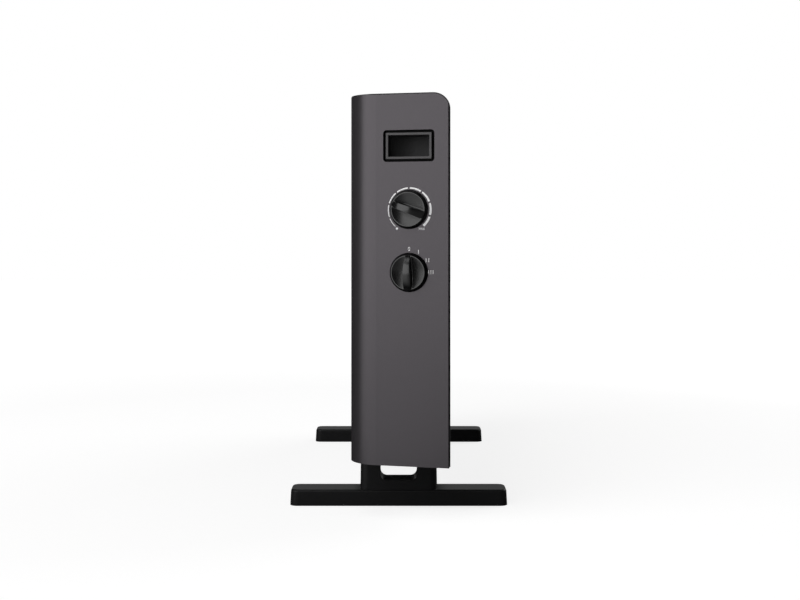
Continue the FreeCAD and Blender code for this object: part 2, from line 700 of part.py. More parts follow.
# Controls, drawn in the end's frame with the axis on Z

def control_holes():
    """Spindle hole and two screw holes through an end wall."""
    reach = CASING_SHEET * 3
    holes = [hole(PANEL_HOLE_R, Vec(0, 0, 0), Vec(0, 0, 1), reach)]
    for side in (-1, 1):
        place = Vec(0, side * CONTROL_SCREW_PITCH / 2, 0)
        holes.append(hole(SMALL_SCREW[2] + HOLE_FIT, place, Vec(0, 0, 1), reach))
    return fuse(holes)


def d_bar(radius, flat, low, high):
    """A round bar with one flat, towards +X."""
    bar = Part.makeCylinder(radius, high - low, Vec(0, 0, low))
    return bar.cut(box((flat, radius * 2), (-radius * 2, radius * 2), (low, high)))


def scoop(side):
    """What is cut away beside the grip bar: a round bowl inside the lip, up to the bar's flank."""
    rim = KNOB_R - KNOB_DRAFT - KNOB_LIP
    bowl_r = (rim ** 2 + SCOOP_DROP ** 2) / (2 * SCOOP_DROP)
    bowl_low = KNOB_FACE - SCOOP_DROP
    beside = box((KNOB_BAR / 2, KNOB_R), (-KNOB_R, KNOB_R), (0, KNOB_TOP))
    beside.rotate(Vec(0, 0, 0), Vec(0, 0, 1), KNOB_BAR_TAPER)
    flank = beside.common(Part.makeCylinder(rim, KNOB_TOP))
    cut = flank.common(Part.makeSphere(bowl_r, Vec(0, 0, bowl_low + bowl_r)))
    foot = [e for e in cut.Edges if e.BoundBox.ZMax < KNOB_FACE + FIT and e.BoundBox.XMax < rim / 2]
    cut = cut.makeFillet(SCOOP_R, foot)
    return cut if side > 0 else cut.mirror(Vec(0, 0, 0), Vec(1, 0, 0))


def above_lip(side):
    """What is cut away beside the grip bar over the lip, so that the lip is flat."""
    over = box((KNOB_BAR / 2, KNOB_R), (-KNOB_R, KNOB_R), (KNOB_FACE, KNOB_TOP))
    over.rotate(Vec(0, 0, 0), Vec(0, 0, 1), KNOB_BAR_TAPER)
    return over if side > 0 else over.mirror(Vec(0, 0, 0), Vec(1, 0, 0))


def knob():
    """Black moulded knob: round skirt, crowned grip bar between two scoops, hollow underneath."""
    face_r = KNOB_R - KNOB_DRAFT
    crown_r = (face_r ** 2 + KNOB_DOME ** 2) / (2 * KNOB_DOME)
    crown_angle = math.asin(face_r / crown_r) / 2
    crown_mid = xz(crown_r * math.sin(crown_angle), KNOB_TOP - crown_r * (1 - math.cos(crown_angle)))
    wire = Part.Wire([
        Part.LineSegment(xz(0, KNOB_GAP), xz(KNOB_R, KNOB_GAP)).toShape(),
        Part.LineSegment(xz(KNOB_R, KNOB_GAP), xz(face_r, KNOB_FACE)).toShape(),
        Part.Arc(xz(face_r, KNOB_FACE), crown_mid, xz(0, KNOB_TOP)).toShape(),
        Part.LineSegment(xz(0, KNOB_TOP), xz(0, KNOB_GAP)).toShape(),
    ])
    blank = Part.Face(wire).revolve(Vec(0, 0, 0), Vec(0, 0, 1), 360)
    hollow = Part.makeCylinder(face_r - KNOB_WALL / 2, KNOB_HOLLOW, Vec(0, 0, KNOB_GAP))
    hub = Part.makeCylinder(KNOB_HUB_R, KNOB_TOP)
    bore = d_bar(SPINDLE_R + RUN_FIT, SPINDLE_FLAT + RUN_FIT, 0, SPINDLE_GRIP + RUN_FIT)
    groove_y = face_r - POINTER_LENGTH
    crown_z = KNOB_TOP - crown_r + math.sqrt(crown_r ** 2 - groove_y ** 2)
    groove = box(
        (-POINTER_WIDTH / 2, POINTER_WIDTH / 2), (groove_y, KNOB_R), (KNOB_FACE, KNOB_FACE + KNOB_DOME)
    )
    kept = Part.makeSphere(crown_r - POINTER_DEPTH, Vec(0, 0, KNOB_TOP - crown_r))
    groove = groove.cut(kept).common(Part.makeCylinder(face_r - KNOB_LIP, crown_z))
    cuts = [cutter(side) for side in (-1, 1) for cutter in (scoop, above_lip)]
    return blank.cut(cuts + [hollow.cut(hub), bore, groove])


def control_screws():
    """Two screws that hold a control behind the end wall, hidden under its knob."""
    grip = CASING_SHEET + THERMOSTAT_FRAME_SHEET
    fastener = screw(SMALL_SCREW, grip)
    places = [Vec(0, side * CONTROL_SCREW_PITCH / 2, 0) for side in (-1, 1)]
    return Part.makeCompound([aimed(fastener, p, Vec(0, 0, 1)) for p in places])


def thermostat_frame():
    """Bent steel frame behind the end wall, with the bush that the spindle turns in."""
    back = -CASING_SHEET
    half_w, half_h = THERMOSTAT_WIDTH / 2, THERMOSTAT_HEIGHT / 2
    sheet = THERMOSTAT_FRAME_SHEET
    pieces = [
        box((-half_w, half_w), (-half_h, half_h), (back - sheet, back)),
        box((-half_w, half_w), (half_h - sheet, half_h), (-THERMOSTAT_STANDOFF, back)),
        box((-half_w, half_w), (-half_h, sheet - half_h), (-THERMOSTAT_STANDOFF, back)),
        Part.makeCylinder(THERMOSTAT_BUSH_R, THERMOSTAT_BUSH, Vec(0, 0, back - THERMOSTAT_BUSH)),
    ]
    shank_r = SMALL_SCREW[2] + HOLE_FIT
    reach = THERMOSTAT_STANDOFF
    cuts = [hole(SPINDLE_R + RUN_FIT, Vec(0, 0, 0), Vec(0, 0, 1), reach)]
    for side in (-1, 1):
        place = Vec(0, side * CONTROL_SCREW_PITCH / 2, back)
        cuts.append(hole(shank_r, place, Vec(0, 0, 1), CASING_SHEET + sheet))
    return fuse(pieces).cut(cuts)


def bimetal_face():
    """Depth of the bimetal leaf's outer face."""
    return -CASING_SHEET - THERMOSTAT_BUSH - SPINDLE_R - SPINDLE_TIP_GAP


def thermostat_base():
    """Ceramic base with the post that carries the bimetal leaf."""
    half_w, half_h = THERMOSTAT_WIDTH / 2, THERMOSTAT_HEIGHT / 2
    base = box((-half_w, half_w), (-half_h, half_h), (-THERMOSTAT_STANDOFF - THERMOSTAT_BASE, -THERMOSTAT_STANDOFF))
    post_low = THERMOSTAT_FRAME_SHEET + FIT - half_h
    post = box(
        (-BIMETAL_WIDTH / 2, BIMETAL_WIDTH / 2),
        (post_low, post_low + BIMETAL_POST),
        (-THERMOSTAT_STANDOFF - THERMOSTAT_BASE / 2, bimetal_face() - BIMETAL_SHEET),
    )
    return fuse([base, post])


def thermostat_bimetal():
    """Bimetal leaf that the spindle's tip presses on."""
    half_h = THERMOSTAT_HEIGHT / 2
    low = THERMOSTAT_FRAME_SHEET + FIT - half_h
    high = half_h - THERMOSTAT_FRAME_SHEET - BIMETAL_POST
    face = bimetal_face()
    return box((-BIMETAL_WIDTH / 2, BIMETAL_WIDTH / 2), (low, high), (face - BIMETAL_SHEET, face))


def thermostat_spindle():
    """Steel spindle from the knob to the bimetal leaf, with a D section in the knob."""
    tip = bimetal_face() + SPINDLE_TIP_GAP
    plain = Part.makeCylinder(SPINDLE_R, -tip + KNOB_GAP, Vec(0, 0, tip))
    return fuse([plain, d_bar(SPINDLE_R, SPINDLE_FLAT, KNOB_GAP, SPINDLE_GRIP)])


def blades(xs, back):
    """Brass push-on terminals that stand out of a control's back."""
    pieces = []
    for x in xs:
        pieces.append(box(
            (x - BLADE_SHEET / 2, x + BLADE_SHEET / 2),
            (-BLADE_WIDTH / 2, BLADE_WIDTH / 2),
            (back - BLADE_LENGTH, back),
        ))
    return Part.makeCompound(pieces)


def thermostat_blade_back():
    return -THERMOSTAT_STANDOFF - THERMOSTAT_BASE


def selector_blade_back():
    return -CASING_SHEET - SELECTOR_FRONT - SELECTOR_CAVITY - SELECTOR_BACK


def selector_blade_xs():
    return [-BLADE_PITCH / 2 * 1.5, 0.0, BLADE_PITCH / 2 * 1.5]


def selector_housing():
    """Moulded switch body: a thick front with the spindle's bore, and a round cavity behind it."""
    front = -CASING_SHEET
    rear = front - SELECTOR_FRONT - SELECTOR_CAVITY
    body = upright(rectangle(SELECTOR_SIZE, SELECTOR_SIZE, SELECTOR_WALL), rear, front)
    cavity_r = SELECTOR_SIZE / 2 - SELECTOR_WALL
    cuts = [
        Part.makeCylinder(cavity_r, SELECTOR_CAVITY, Vec(0, 0, rear)),
        hole(SPINDLE_R + RUN_FIT, Vec(0, 0, front), Vec(0, 0, 1), SELECTOR_FRONT * 2),
    ]
    for side in (-1, 1):
        place = Vec(0, side * CONTROL_SCREW_PITCH / 2, front)
        cuts.append(hole(SMALL_SCREW[2] + HOLE_FIT, place, Vec(0, 0, 1), SELECTOR_FRONT * 2))
    return body.cut(cuts)


def selector_back():
    """Cover plate that closes the switch and carries its terminals."""
    front = -CASING_SHEET - SELECTOR_FRONT - SELECTOR_CAVITY
    return upright(rectangle(SELECTOR_SIZE, SELECTOR_SIZE, SELECTOR_WALL), front - SELECTOR_BACK, front)


def selector_spindle():
    """Moulded rotor: spindle with a D end, and the lobed cam that works the contacts."""
    cam_high = -CASING_SHEET - SELECTOR_FRONT - CAM_END_GAP
    cam_low = -CASING_SHEET - SELECTOR_FRONT - SELECTOR_CAVITY + CAM_END_GAP
    lobe_ring = SELECTOR_SIZE / 2 - SELECTOR_WALL - CAM_LOBE_R - CAM_END_GAP
    pieces = [
        Part.makeCylinder(SPINDLE_R, KNOB_GAP - cam_low, Vec(0, 0, cam_low)),
        d_bar(SPINDLE_R, SPINDLE_FLAT, KNOB_GAP, SPINDLE_GRIP),
        Part.makeCylinder(lobe_ring, cam_high - cam_low, Vec(0, 0, cam_low)),
    ]
    for i in range(CAM_LOBES):
        angle = 2 * math.pi * i / CAM_LOBES
        centre = Vec(lobe_ring * math.cos(angle), lobe_ring * math.sin(angle), cam_low)
        pieces.append(Part.makeCylinder(CAM_LOBE_R, cam_high - cam_low, centre))
    return fuse(pieces)


# Feet

def foot():
    """Black moulded foot: long base, neck with a window, hollow underside with ribs."""
    base_low = rectangle(FOOT_THICKNESS, FOOT_LENGTH, FOOT_PLAN_R)
    base_high = rectangle(FOOT_THICKNESS, FOOT_LENGTH - 2 * FOOT_DRAFT, FOOT_PLAN_R)
    base_high.translate(Vec(0, 0, FOOT_BASE))
    base = Part.makeLoft([base_low, base_high], True, True)
    base = base.makeFillet(FOOT_EDGE_R, [e for e in base.Edges if e.BoundBox.ZMin > FOOT_BASE / 2])
    neck_low = rectangle(NECK_THICKNESS, NECK_WIDTH, NECK_CORNER_R)
    neck_low.translate(Vec(0, 0, FOOT_BASE / 2))
    neck_high = rectangle(NECK_THICKNESS, NECK_WIDTH - 2 * NECK_TAPER, NECK_CORNER_R)
    neck_high.translate(Vec(0, 0, PLATE_Z))
    neck = Part.makeLoft([neck_low, neck_high], True, True)
    window = rectangle(WINDOW_WIDTH, WINDOW_HEIGHT, WINDOW_R, (0, WINDOW_BOTTOM + WINDOW_HEIGHT / 2), yz)
    cuts = [lengthwise(window, -FOOT_THICKNESS, FOOT_THICKNESS)]
    for seat in foot_screw_places()[2:]:
        at = Vec(0, seat.y, seat.z)
        cuts.append(rod(FOOT_SCREW[0] + FIT, Vec(0, seat.y, 0), at))
        cuts.append(hole(FOOT_SCREW[2] + HOLE_FIT, at, Vec(0, 0, 1), FOOT_SCREW_GRIP * 2))
    return fuse([base, neck]).cut(cuts + foot_cells())


def foot_cells():
    """Pockets in the foot's underside, with ribs between them."""
    cell_x = (FOOT_WALL - FOOT_THICKNESS / 2, FOOT_THICKNESS / 2 - FOOT_WALL)
    ceiling = FOOT_BASE - FOOT_WALL
    inner = NECK_WIDTH / 2 + FOOT_WALL
    outer = FOOT_LENGTH / 2 - FOOT_DRAFT - FOOT_PLAN_R
    pitch = (outer - inner) / FOOT_CELLS
    cells = [box(cell_x, (FOOT_WALL - WINDOW_WIDTH / 2, WINDOW_WIDTH / 2 - FOOT_WALL), (0, ceiling))]
    for side in (-1, 1):
        for i in range(FOOT_CELLS):
            y = sorted((side * (inner + i * pitch), side * (inner + (i + 1) * pitch - FOOT_WALL)))
            cells.append(box(cell_x, y, (0, ceiling)))
    return cells


def foot_at(end):
    placed = foot()
    placed.translate(Vec(end * FOOT_X, 0, 0))
    return placed


# Inside: partition, bracket, shield and heating elements

def upright_plate(top_z):
    """Sheet wall across the body at the control end, with a flange on the floor and one at the front."""
    near, far = PARTITION_X, PARTITION_X + BRACKET_SHEET
    rear = REAR_Y - CASING_SHEET - FIT
    flange_x = (near, far + BRACKET_FLANGE)
    pieces = [
        box((near, far), (SHIELD_Y, rear), (PLATE_TOP_Z, top_z)),
        box(flange_x, (SHIELD_Y, rear), (PLATE_TOP_Z, PLATE_TOP_Z + BRACKET_SHEET)),
        box(flange_x, (SHIELD_Y, SHIELD_Y + BRACKET_SHEET), (PLATE_TOP_Z, PLATE_TOP_Z + BRACKET_HEIGHT)),
    ]
    cuts = []
    for z in (LOWER_ELEMENT_Z, UPPER_ELEMENT_Z):
        cuts.append(hole(BUSH_NECK_R + HOLE_FIT, Vec(near, MIDDLE_Y, z), Vec(1, 0, 0), BRACKET_SHEET * 3))
    cuts.append(hole(GROMMET_NECK_R + HOLE_FIT, grommet_place(), Vec(1, 0, 0), BRACKET_SHEET * 3))
    for place in partition_screw_places()[2:]:
        cuts.append(hole(SMALL_SCREW[2] + HOLE_FIT, place, Vec(0, 0, 1), BRACKET_SHEET * 2))
    for place in shield_rivet_places()[2:]:
        cuts.append(hole(RIVET[2] + HOLE_FIT, place, Vec(0, 1, 0), BRACKET_SHEET * 3))
    return fuse(pieces).cut(cuts)


def control_partition():
    """Tall wall that keeps the heat off the controls; it carries the elements and the cut-out."""
    wall = upright_plate(SHEET_TOP_Z - GRILLE_DEPTH - BRACKET_SHEET * 4)
    return wall.cut([
        hole(CUTOUT_R + HOLE_FIT, cutout_place(), Vec(1, 0, 0), BRACKET_SHEET * 3),
        hole(SMALL_SCREW[2] + HOLE_FIT, earth_place(), Vec(1, 0, 0), BRACKET_SHEET * 3),
    ])


def far_bracket():
    """Short bracket that carries the elements' far ends."""
    return mirrored(upright_plate(PLATE_TOP_Z + BRACKET_HEIGHT))


def heat_shield():
    """Bright sheet between the elements and the front wall."""
    half = PARTITION_X + BRACKET_SHEET + BRACKET_FLANGE
    low = PLATE_TOP_Z + SHIELD_LIFT
    sheet = box((-half, half), (SHIELD_Y - SHIELD_SHEET, SHIELD_Y), (low, low + SHIELD_HEIGHT))
    return sheet.cut([hole(RIVET[2] + HOLE_FIT, p, Vec(0, 1, 0), SHIELD_SHEET * 3) for p in shield_rivet_places()])


def element_sheath(z):
    """Steel sheath of one heating element."""
    return rod(ELEMENT_R, Vec(-ELEMENT_END_X, MIDDLE_Y, z), Vec(ELEMENT_END_X, MIDDLE_Y, z))


def element_fins(z):
    """Aluminium fins pressed along one sheath."""
    reach = PARTITION_X - BUSH_FLANGE - FIN_END_GAP
    count = int(2 * reach // FIN_PITCH) + 1
    first = -(count - 1) * FIN_PITCH / 2
    fin = box((-FIN_SHEET / 2, FIN_SHEET / 2), (-FIN_WIDTH / 2, FIN_WIDTH / 2), (-FIN_HEIGHT / 2, FIN_HEIGHT / 2))
    fin = fin.cut(hole(ELEMENT_R + HOLE_FIT, Vec(0, 0, 0), Vec(1, 0, 0), FIN_SHEET * 2))
    fins = []
    for i in range(count):
        placed = fin.copy()
        placed.translate(Vec(first + i * FIN_PITCH, MIDDLE_Y, z))
        fins.append(placed)
    return Part.makeCompound(fins)


def element_bushes():
    """Ceramic bushes that hold the sheaths in the partition and the bracket."""
    bushes = []
    along = Vec(1, 0, 0)
    for z in (LOWER_ELEMENT_Z, UPPER_ELEMENT_Z):
        wall = Vec(PARTITION_X, MIDDLE_Y, z)
        bush = fuse([
            rod(BUSH_FLANGE_R, wall - along * BUSH_FLANGE, wall),
            rod(BUSH_NECK_R, wall - along * BUSH_FLANGE, wall + along * (BRACKET_SHEET + BUSH_FLANGE)),
        ])
        bush = bush.cut(hole(ELEMENT_R + HOLE_FIT, wall, along, BUSH_FLANGE * 4))
        bushes += [bush, mirrored(bush)]
    return Part.makeCompound(bushes)


def element_studs():
    """Threaded studs and nuts on the sheaths' ends."""
    pieces = []
    along = Vec(1, 0, 0)
    for z in (LOWER_ELEMENT_Z, UPPER_ELEMENT_Z):
        start = Vec(ELEMENT_END_X, MIDDLE_Y, z)
        nut_start = start + along * (LINK_SHEET + FIT)
        corners = []
        for i in range(6):
            angle = math.pi * i / 3
            corners.append((MIDDLE_Y + STUD_NUT_R * math.cos(angle), z + STUD_NUT_R * math.sin(angle)))
        nut = lengthwise(outline(corners, [0] * 6, yz), nut_start.x, nut_start.x + STUD_NUT)
        stud = fuse([rod(STUD_R, start, start + along * STUD_LENGTH), nut])
        pieces += [stud, mirrored(stud)]
    return Part.makeCompound(pieces)


def element_link():
    """Brass strip that joins the two elements at the far end."""
    strip = box(
        (-ELEMENT_END_X - LINK_SHEET, -ELEMENT_END_X),
        (MIDDLE_Y - LINK_WIDTH / 2, MIDDLE_Y + LINK_WIDTH / 2),
        (LOWER_ELEMENT_Z - LINK_WIDTH / 2, UPPER_ELEMENT_Z + LINK_WIDTH / 2),
    )
    cuts = []
    for z in (LOWER_ELEMENT_Z, UPPER_ELEMENT_Z):
        cuts.append(hole(STUD_R + HOLE_FIT, Vec(-ELEMENT_END_X, MIDDLE_Y, z), Vec(1, 0, 0), LINK_SHEET * 2))
    return strip.cut(cuts)


# Cut-out, terminal block and cord gland

def cutout_place():
    """Centre of the cut-out's flange on the partition's control side."""
    return Vec(PARTITION_X + BRACKET_SHEET, CUTOUT_Y, CUTOUT_Z)


def thermal_cutout():
    """Bimetal disc cut-out: cap in the hot air, body and blades on the control side."""
    along = Vec(1, 0, 0)
    face = cutout_place()
    return fuse([
        rod(CUTOUT_R, face - along * (BRACKET_SHEET + CUTOUT_CAP), face + along * CUTOUT_BODY),
        rod(CUTOUT_FLANGE_R, face, face + along * CUTOUT_FLANGE),
    ])


def cutout_blade_xz():
    """Where the cut-out's two blades leave its body."""
    x = PARTITION_X + BRACKET_SHEET + CUTOUT_BODY
    return [(x, CUTOUT_Z + side * CUTOUT_R / 2) for side in (-1, 1)]


def cutout_blades():
    pieces = []
    for x, z in cutout_blade_xz():
        pieces.append(box(
            (x, x + BLADE_LENGTH),
            (CUTOUT_Y - BLADE_WIDTH / 2, CUTOUT_Y + BLADE_WIDTH / 2),
            (z - BLADE_SHEET / 2, z + BLADE_SHEET / 2),
        ))
    return Part.makeCompound(pieces)


def block_place():
    """Centre of the terminal block on the bottom plate."""
    x = (PARTITION_X + BRACKET_SHEET + BRACKET_FLANGE + side_x(REAR_Y - BLOCK_FROM_REAR, CASING_SHEET)) / 2
    return Vec(x, REAR_Y - BLOCK_FROM_REAR, PLATE_TOP_Z)


def block_pole_ys():
    pitch = BLOCK_LENGTH / BLOCK_POLES
    return [block_place().y + (i - (BLOCK_POLES - 1) / 2) * pitch for i in range(BLOCK_POLES)]


def terminal_block():
    """Moulded block with a wire way and two clamp wells for each pole."""
    c = block_place()
    body = box(
        (c.x - BLOCK_WIDTH / 2, c.x + BLOCK_WIDTH / 2),
        (c.y - BLOCK_LENGTH / 2, c.y + BLOCK_LENGTH / 2),
        (c.z, c.z + BLOCK_HEIGHT),
    )
    cuts = [hole(SMALL_SCREW[2] + HOLE_FIT, c, Vec(0, 0, 1), BLOCK_HEIGHT / 4)]
    for y in block_pole_ys():
        for side in (-1, 1):
            well = Vec(c.x + side * BLOCK_WIDTH / 4, y, c.z + BLOCK_HEIGHT)
            cuts.append(rod(SMALL_SCREW[0] + FIT, well - Vec(0, 0, BLOCK_HEIGHT / 2), well))
    return body.cut(cuts)


def terminal_screws():
    """Brass clamp screws in the terminal block's wells."""
    c = block_place()
    seat = c.z + BLOCK_HEIGHT / 2
    head_r, head_h, _ = SMALL_SCREW
    slot = head_r * 0.3
    head = Part.makeCylinder(head_r, head_h).cut(box((-head_r, head_r), (-slot / 2, slot / 2), (head_h / 2, head_h)))
    pieces = []
    for y in block_pole_ys():
        for side in (-1, 1):
            placed = head.copy()
            placed.translate(Vec(c.x + side * BLOCK_WIDTH / 4, y, seat))
            pieces.append(placed)
    return Part.makeCompound(pieces)


def gland_place():
    """Centre of the cord's way through the back sheet, on its outer face."""
    x = PARTITION_X + BRACKET_SHEET + GLAND_FROM_PARTITION + GLAND_FLANGE_R
    return Vec(x, REAR_Y + COVER_SHEET, PLATE_TOP_Z + GLAND_LIFT)


def cord_gland():
    """Bush for the mains lead in the back sheet, with a flange on each side of it."""
    out = Vec(0, 1, 0)
    face = gland_place()
    inner = face - out * COVER_SHEET
    body = fuse([
        rod(GLAND_FLANGE_R, face, face + out * GLAND_FLANGE),
        rod(GLAND_NECK_R, inner - out * GLAND_FLANGE, face + out * GLAND_FLANGE),
        rod(GLAND_FLANGE_R, inner - out * GLAND_FLANGE, inner),
    ])
    return body.cut(hole(GLAND_BORE_R, face, out, GLAND_FLANGE * 4))


# Earth tag and grommets

def earth_place():
    """Centre of the earth screw on the tag's outer face."""
    tag_z = PLATE_TOP_Z + TAG_LIFT
    return Vec(PARTITION_X + BRACKET_SHEET + TAG_SHEET, block_place().y, tag_z + TAG_LENGTH - TAG_WIDTH / 2)


def earth_tag():
    """Brass tag that joins the earth lead to the partition."""
    c = earth_place()
    tag_z = PLATE_TOP_Z + TAG_LIFT
    tag = box((c.x - TAG_SHEET, c.x), (c.y - TAG_WIDTH / 2, c.y + TAG_WIDTH / 2), (tag_z, tag_z + TAG_LENGTH))
    return tag.cut(hole(SMALL_SCREW[2] + HOLE_FIT, c, Vec(1, 0, 0), TAG_SHEET * 2))


def grommet_place():
    """Centre of the neutral lead's way through the partition, on its outer face."""
    return Vec(PARTITION_X + BRACKET_SHEET, block_pole_ys()[-1], lead_height())


def lead_grommets():
    """Rubber grommets where the neutral lead passes the partition and the bracket."""
    along = Vec(1, 0, 0)
    face = grommet_place()
    back = face - along * BRACKET_SHEET
    grommet = fuse([
        rod(GROMMET_FLANGE_R, face, face + along * GROMMET_FLANGE),
        rod(GROMMET_NECK_R, back - along * GROMMET_FLANGE, face + along * GROMMET_FLANGE),
        rod(GROMMET_FLANGE_R, back - along * GROMMET_FLANGE, back),
    ])
    grommet = grommet.cut(hole(LEAD_R + HOLE_FIT, face, along, GROMMET_FLANGE * 4))
    return Part.makeCompound([grommet, mirrored(grommet)])


# Leads

def lead_height():
    """Height at which leads leave the terminal block."""
    return PLATE_TOP_Z + BLOCK_HEIGHT / 2


def block_tip(pole):
    """Where a lead leaves the terminal block, on the side of the partition."""
    return Vec(block_place().x - BLOCK_WIDTH / 2, block_pole_ys()[pole], lead_height())


def blade_tip(x, back, height):
    """Tip of a control's blade, given in the end's frame."""
    return end_place(height).multVec(Vec(x, 0, back - BLADE_LENGTH))


def inwards(point, distance):
    """A point moved square to the end wall, into the body."""
    return point + Vec(-math.cos(FLARE), math.sin(FLARE), 0) * distance


def lead(points):
    """An insulated wire along straight runs joined by arcs as large as the runs allow."""
    edges = []
    start = points[0]
    radii = []
    for i in range(1, len(points) - 1):
        before = points[i - 1] - points[i]
        after = points[i + 1] - points[i]
        half = before.getAngle(after) / 2
        reach = 0.45 * min(before.Length, after.Length)
        radius = reach * math.tan(half)
        radii.append(round(radius, 1))
        before.normalize()
        after.normalize()
        bisector = (before + after).normalize()
        middle = points[i] + bisector * (radius / math.sin(half) - radius)
        entry, leave = points[i] + before * reach, points[i] + after * reach
        edges.append(Part.LineSegment(start, entry).toShape())
        edges.append(Part.Arc(entry, middle, leave).toShape())
        start = leave
    edges.append(Part.LineSegment(start, points[-1]).toShape())
    path = Part.Wire(edges)
    section = Part.Wire([Part.makeCircle(LEAD_R, points[0], points[1] - points[0])])
    solid = path.makePipeShell([section], True, False)
    share = solid.Volume / (math.pi * LEAD_R ** 2 * path.Length)
    print("  lead of %.0f mm, volume %.4f of section times length, bends" % (path.Length, share), radii)
    return solid


def live_lead():
    """From the block's first pole up to the thermostat."""
    tip = blade_tip(-BLADE_PITCH / 2, thermostat_blade_back(), THERMOSTAT_Z)
    top = inwards(tip, LEAD_STUB)
    end = block_tip(0)
    return lead([tip, top, Vec(top.x, end.y, end.z), end])


def thermostat_lead():
    """From the thermostat down to the selector's rear terminal."""
    tip = blade_tip(BLADE_PITCH / 2, thermostat_blade_back(), THERMOSTAT_Z)
    end = blade_tip(selector_blade_xs()[2], selector_blade_back(), SELECTOR_Z)
    return lead([tip, inwards(tip, LEAD_STUB), inwards(end, LEAD_STUB * 1.5), end])


def cutout_lead():
    """From the selector's front terminal to the cut-out's upper blade."""
    tip = blade_tip(selector_blade_xs()[0], selector_blade_back(), SELECTOR_Z)
    x, z = cutout_blade_xz()[1]
    end = Vec(x + BLADE_LENGTH, CUTOUT_Y, z)
    return lead([tip, inwards(tip, LEAD_STUB), end + Vec(LEAD_STUB, 0, 0), end])


def upper_element_lead():
    """From the cut-out's lower blade to the upper element."""
    x, z = cutout_blade_xz()[0]
    tip = Vec(x + BLADE_LENGTH, CUTOUT_Y, z)
    end = Vec(ELEMENT_END_X + STUD_LENGTH, MIDDLE_Y, UPPER_ELEMENT_Z)
    return lead([tip, tip + Vec(LEAD_STUB, 0, 0), end + Vec(LEAD_STUB, 0, 0), end])


def lower_element_lead():
    """From the selector's middle terminal to the lower element."""
    tip = blade_tip(selector_blade_xs()[1], selector_blade_back(), SELECTOR_Z)
    end = Vec(ELEMENT_END_X + STUD_LENGTH, MIDDLE_Y, LOWER_ELEMENT_Z)
    return lead([tip, inwards(tip, LEAD_STUB), end + Vec(LEAD_STUB, 0, 0), end])


def neutral_lead():
    """From the block's last pole along the floor to the link at the far end."""
    tip = block_tip(BLOCK_POLES - 1)
    end = Vec(-ELEMENT_END_X - STUD_LENGTH, MIDDLE_Y, LOWER_ELEMENT_Z)
    turn_x = end.x - LEAD_STUB
    return lead([tip, Vec(turn_x, tip.y, tip.z), Vec(turn_x, end.y, end.z), end])


def earth_lead():
    """From the block's middle pole to the earth tag."""
    tip = block_tip(1)
    tag = Vec(earth_place().x, tip.y, PLATE_TOP_Z + TAG_LIFT + TAG_WIDTH / 2)
    turn_x = (tip.x + tag.x) / 2
    return lead([tip, Vec(turn_x, tip.y, tip.z), Vec(turn_x, tag.y, tag.z), tag])


def save(name, shape):
    """Writes one piece and reports its solids."""
    solids = shape.Solids
    valid = all(s.isValid() and s.Volume > 0 for s in solids)
    print("%-28s solids %3d  volume %10.1f  %s" % (name, len(solids), shape.Volume, "ok" if valid else "BAD"))
    shape.exportStep(os.path.join("parts", name + ".step"))


def group(fastener, places, direction):
    """Like fasteners as one group of separate solids."""
    return Part.makeCompound([aimed(fastener, p, direction) for p in places])


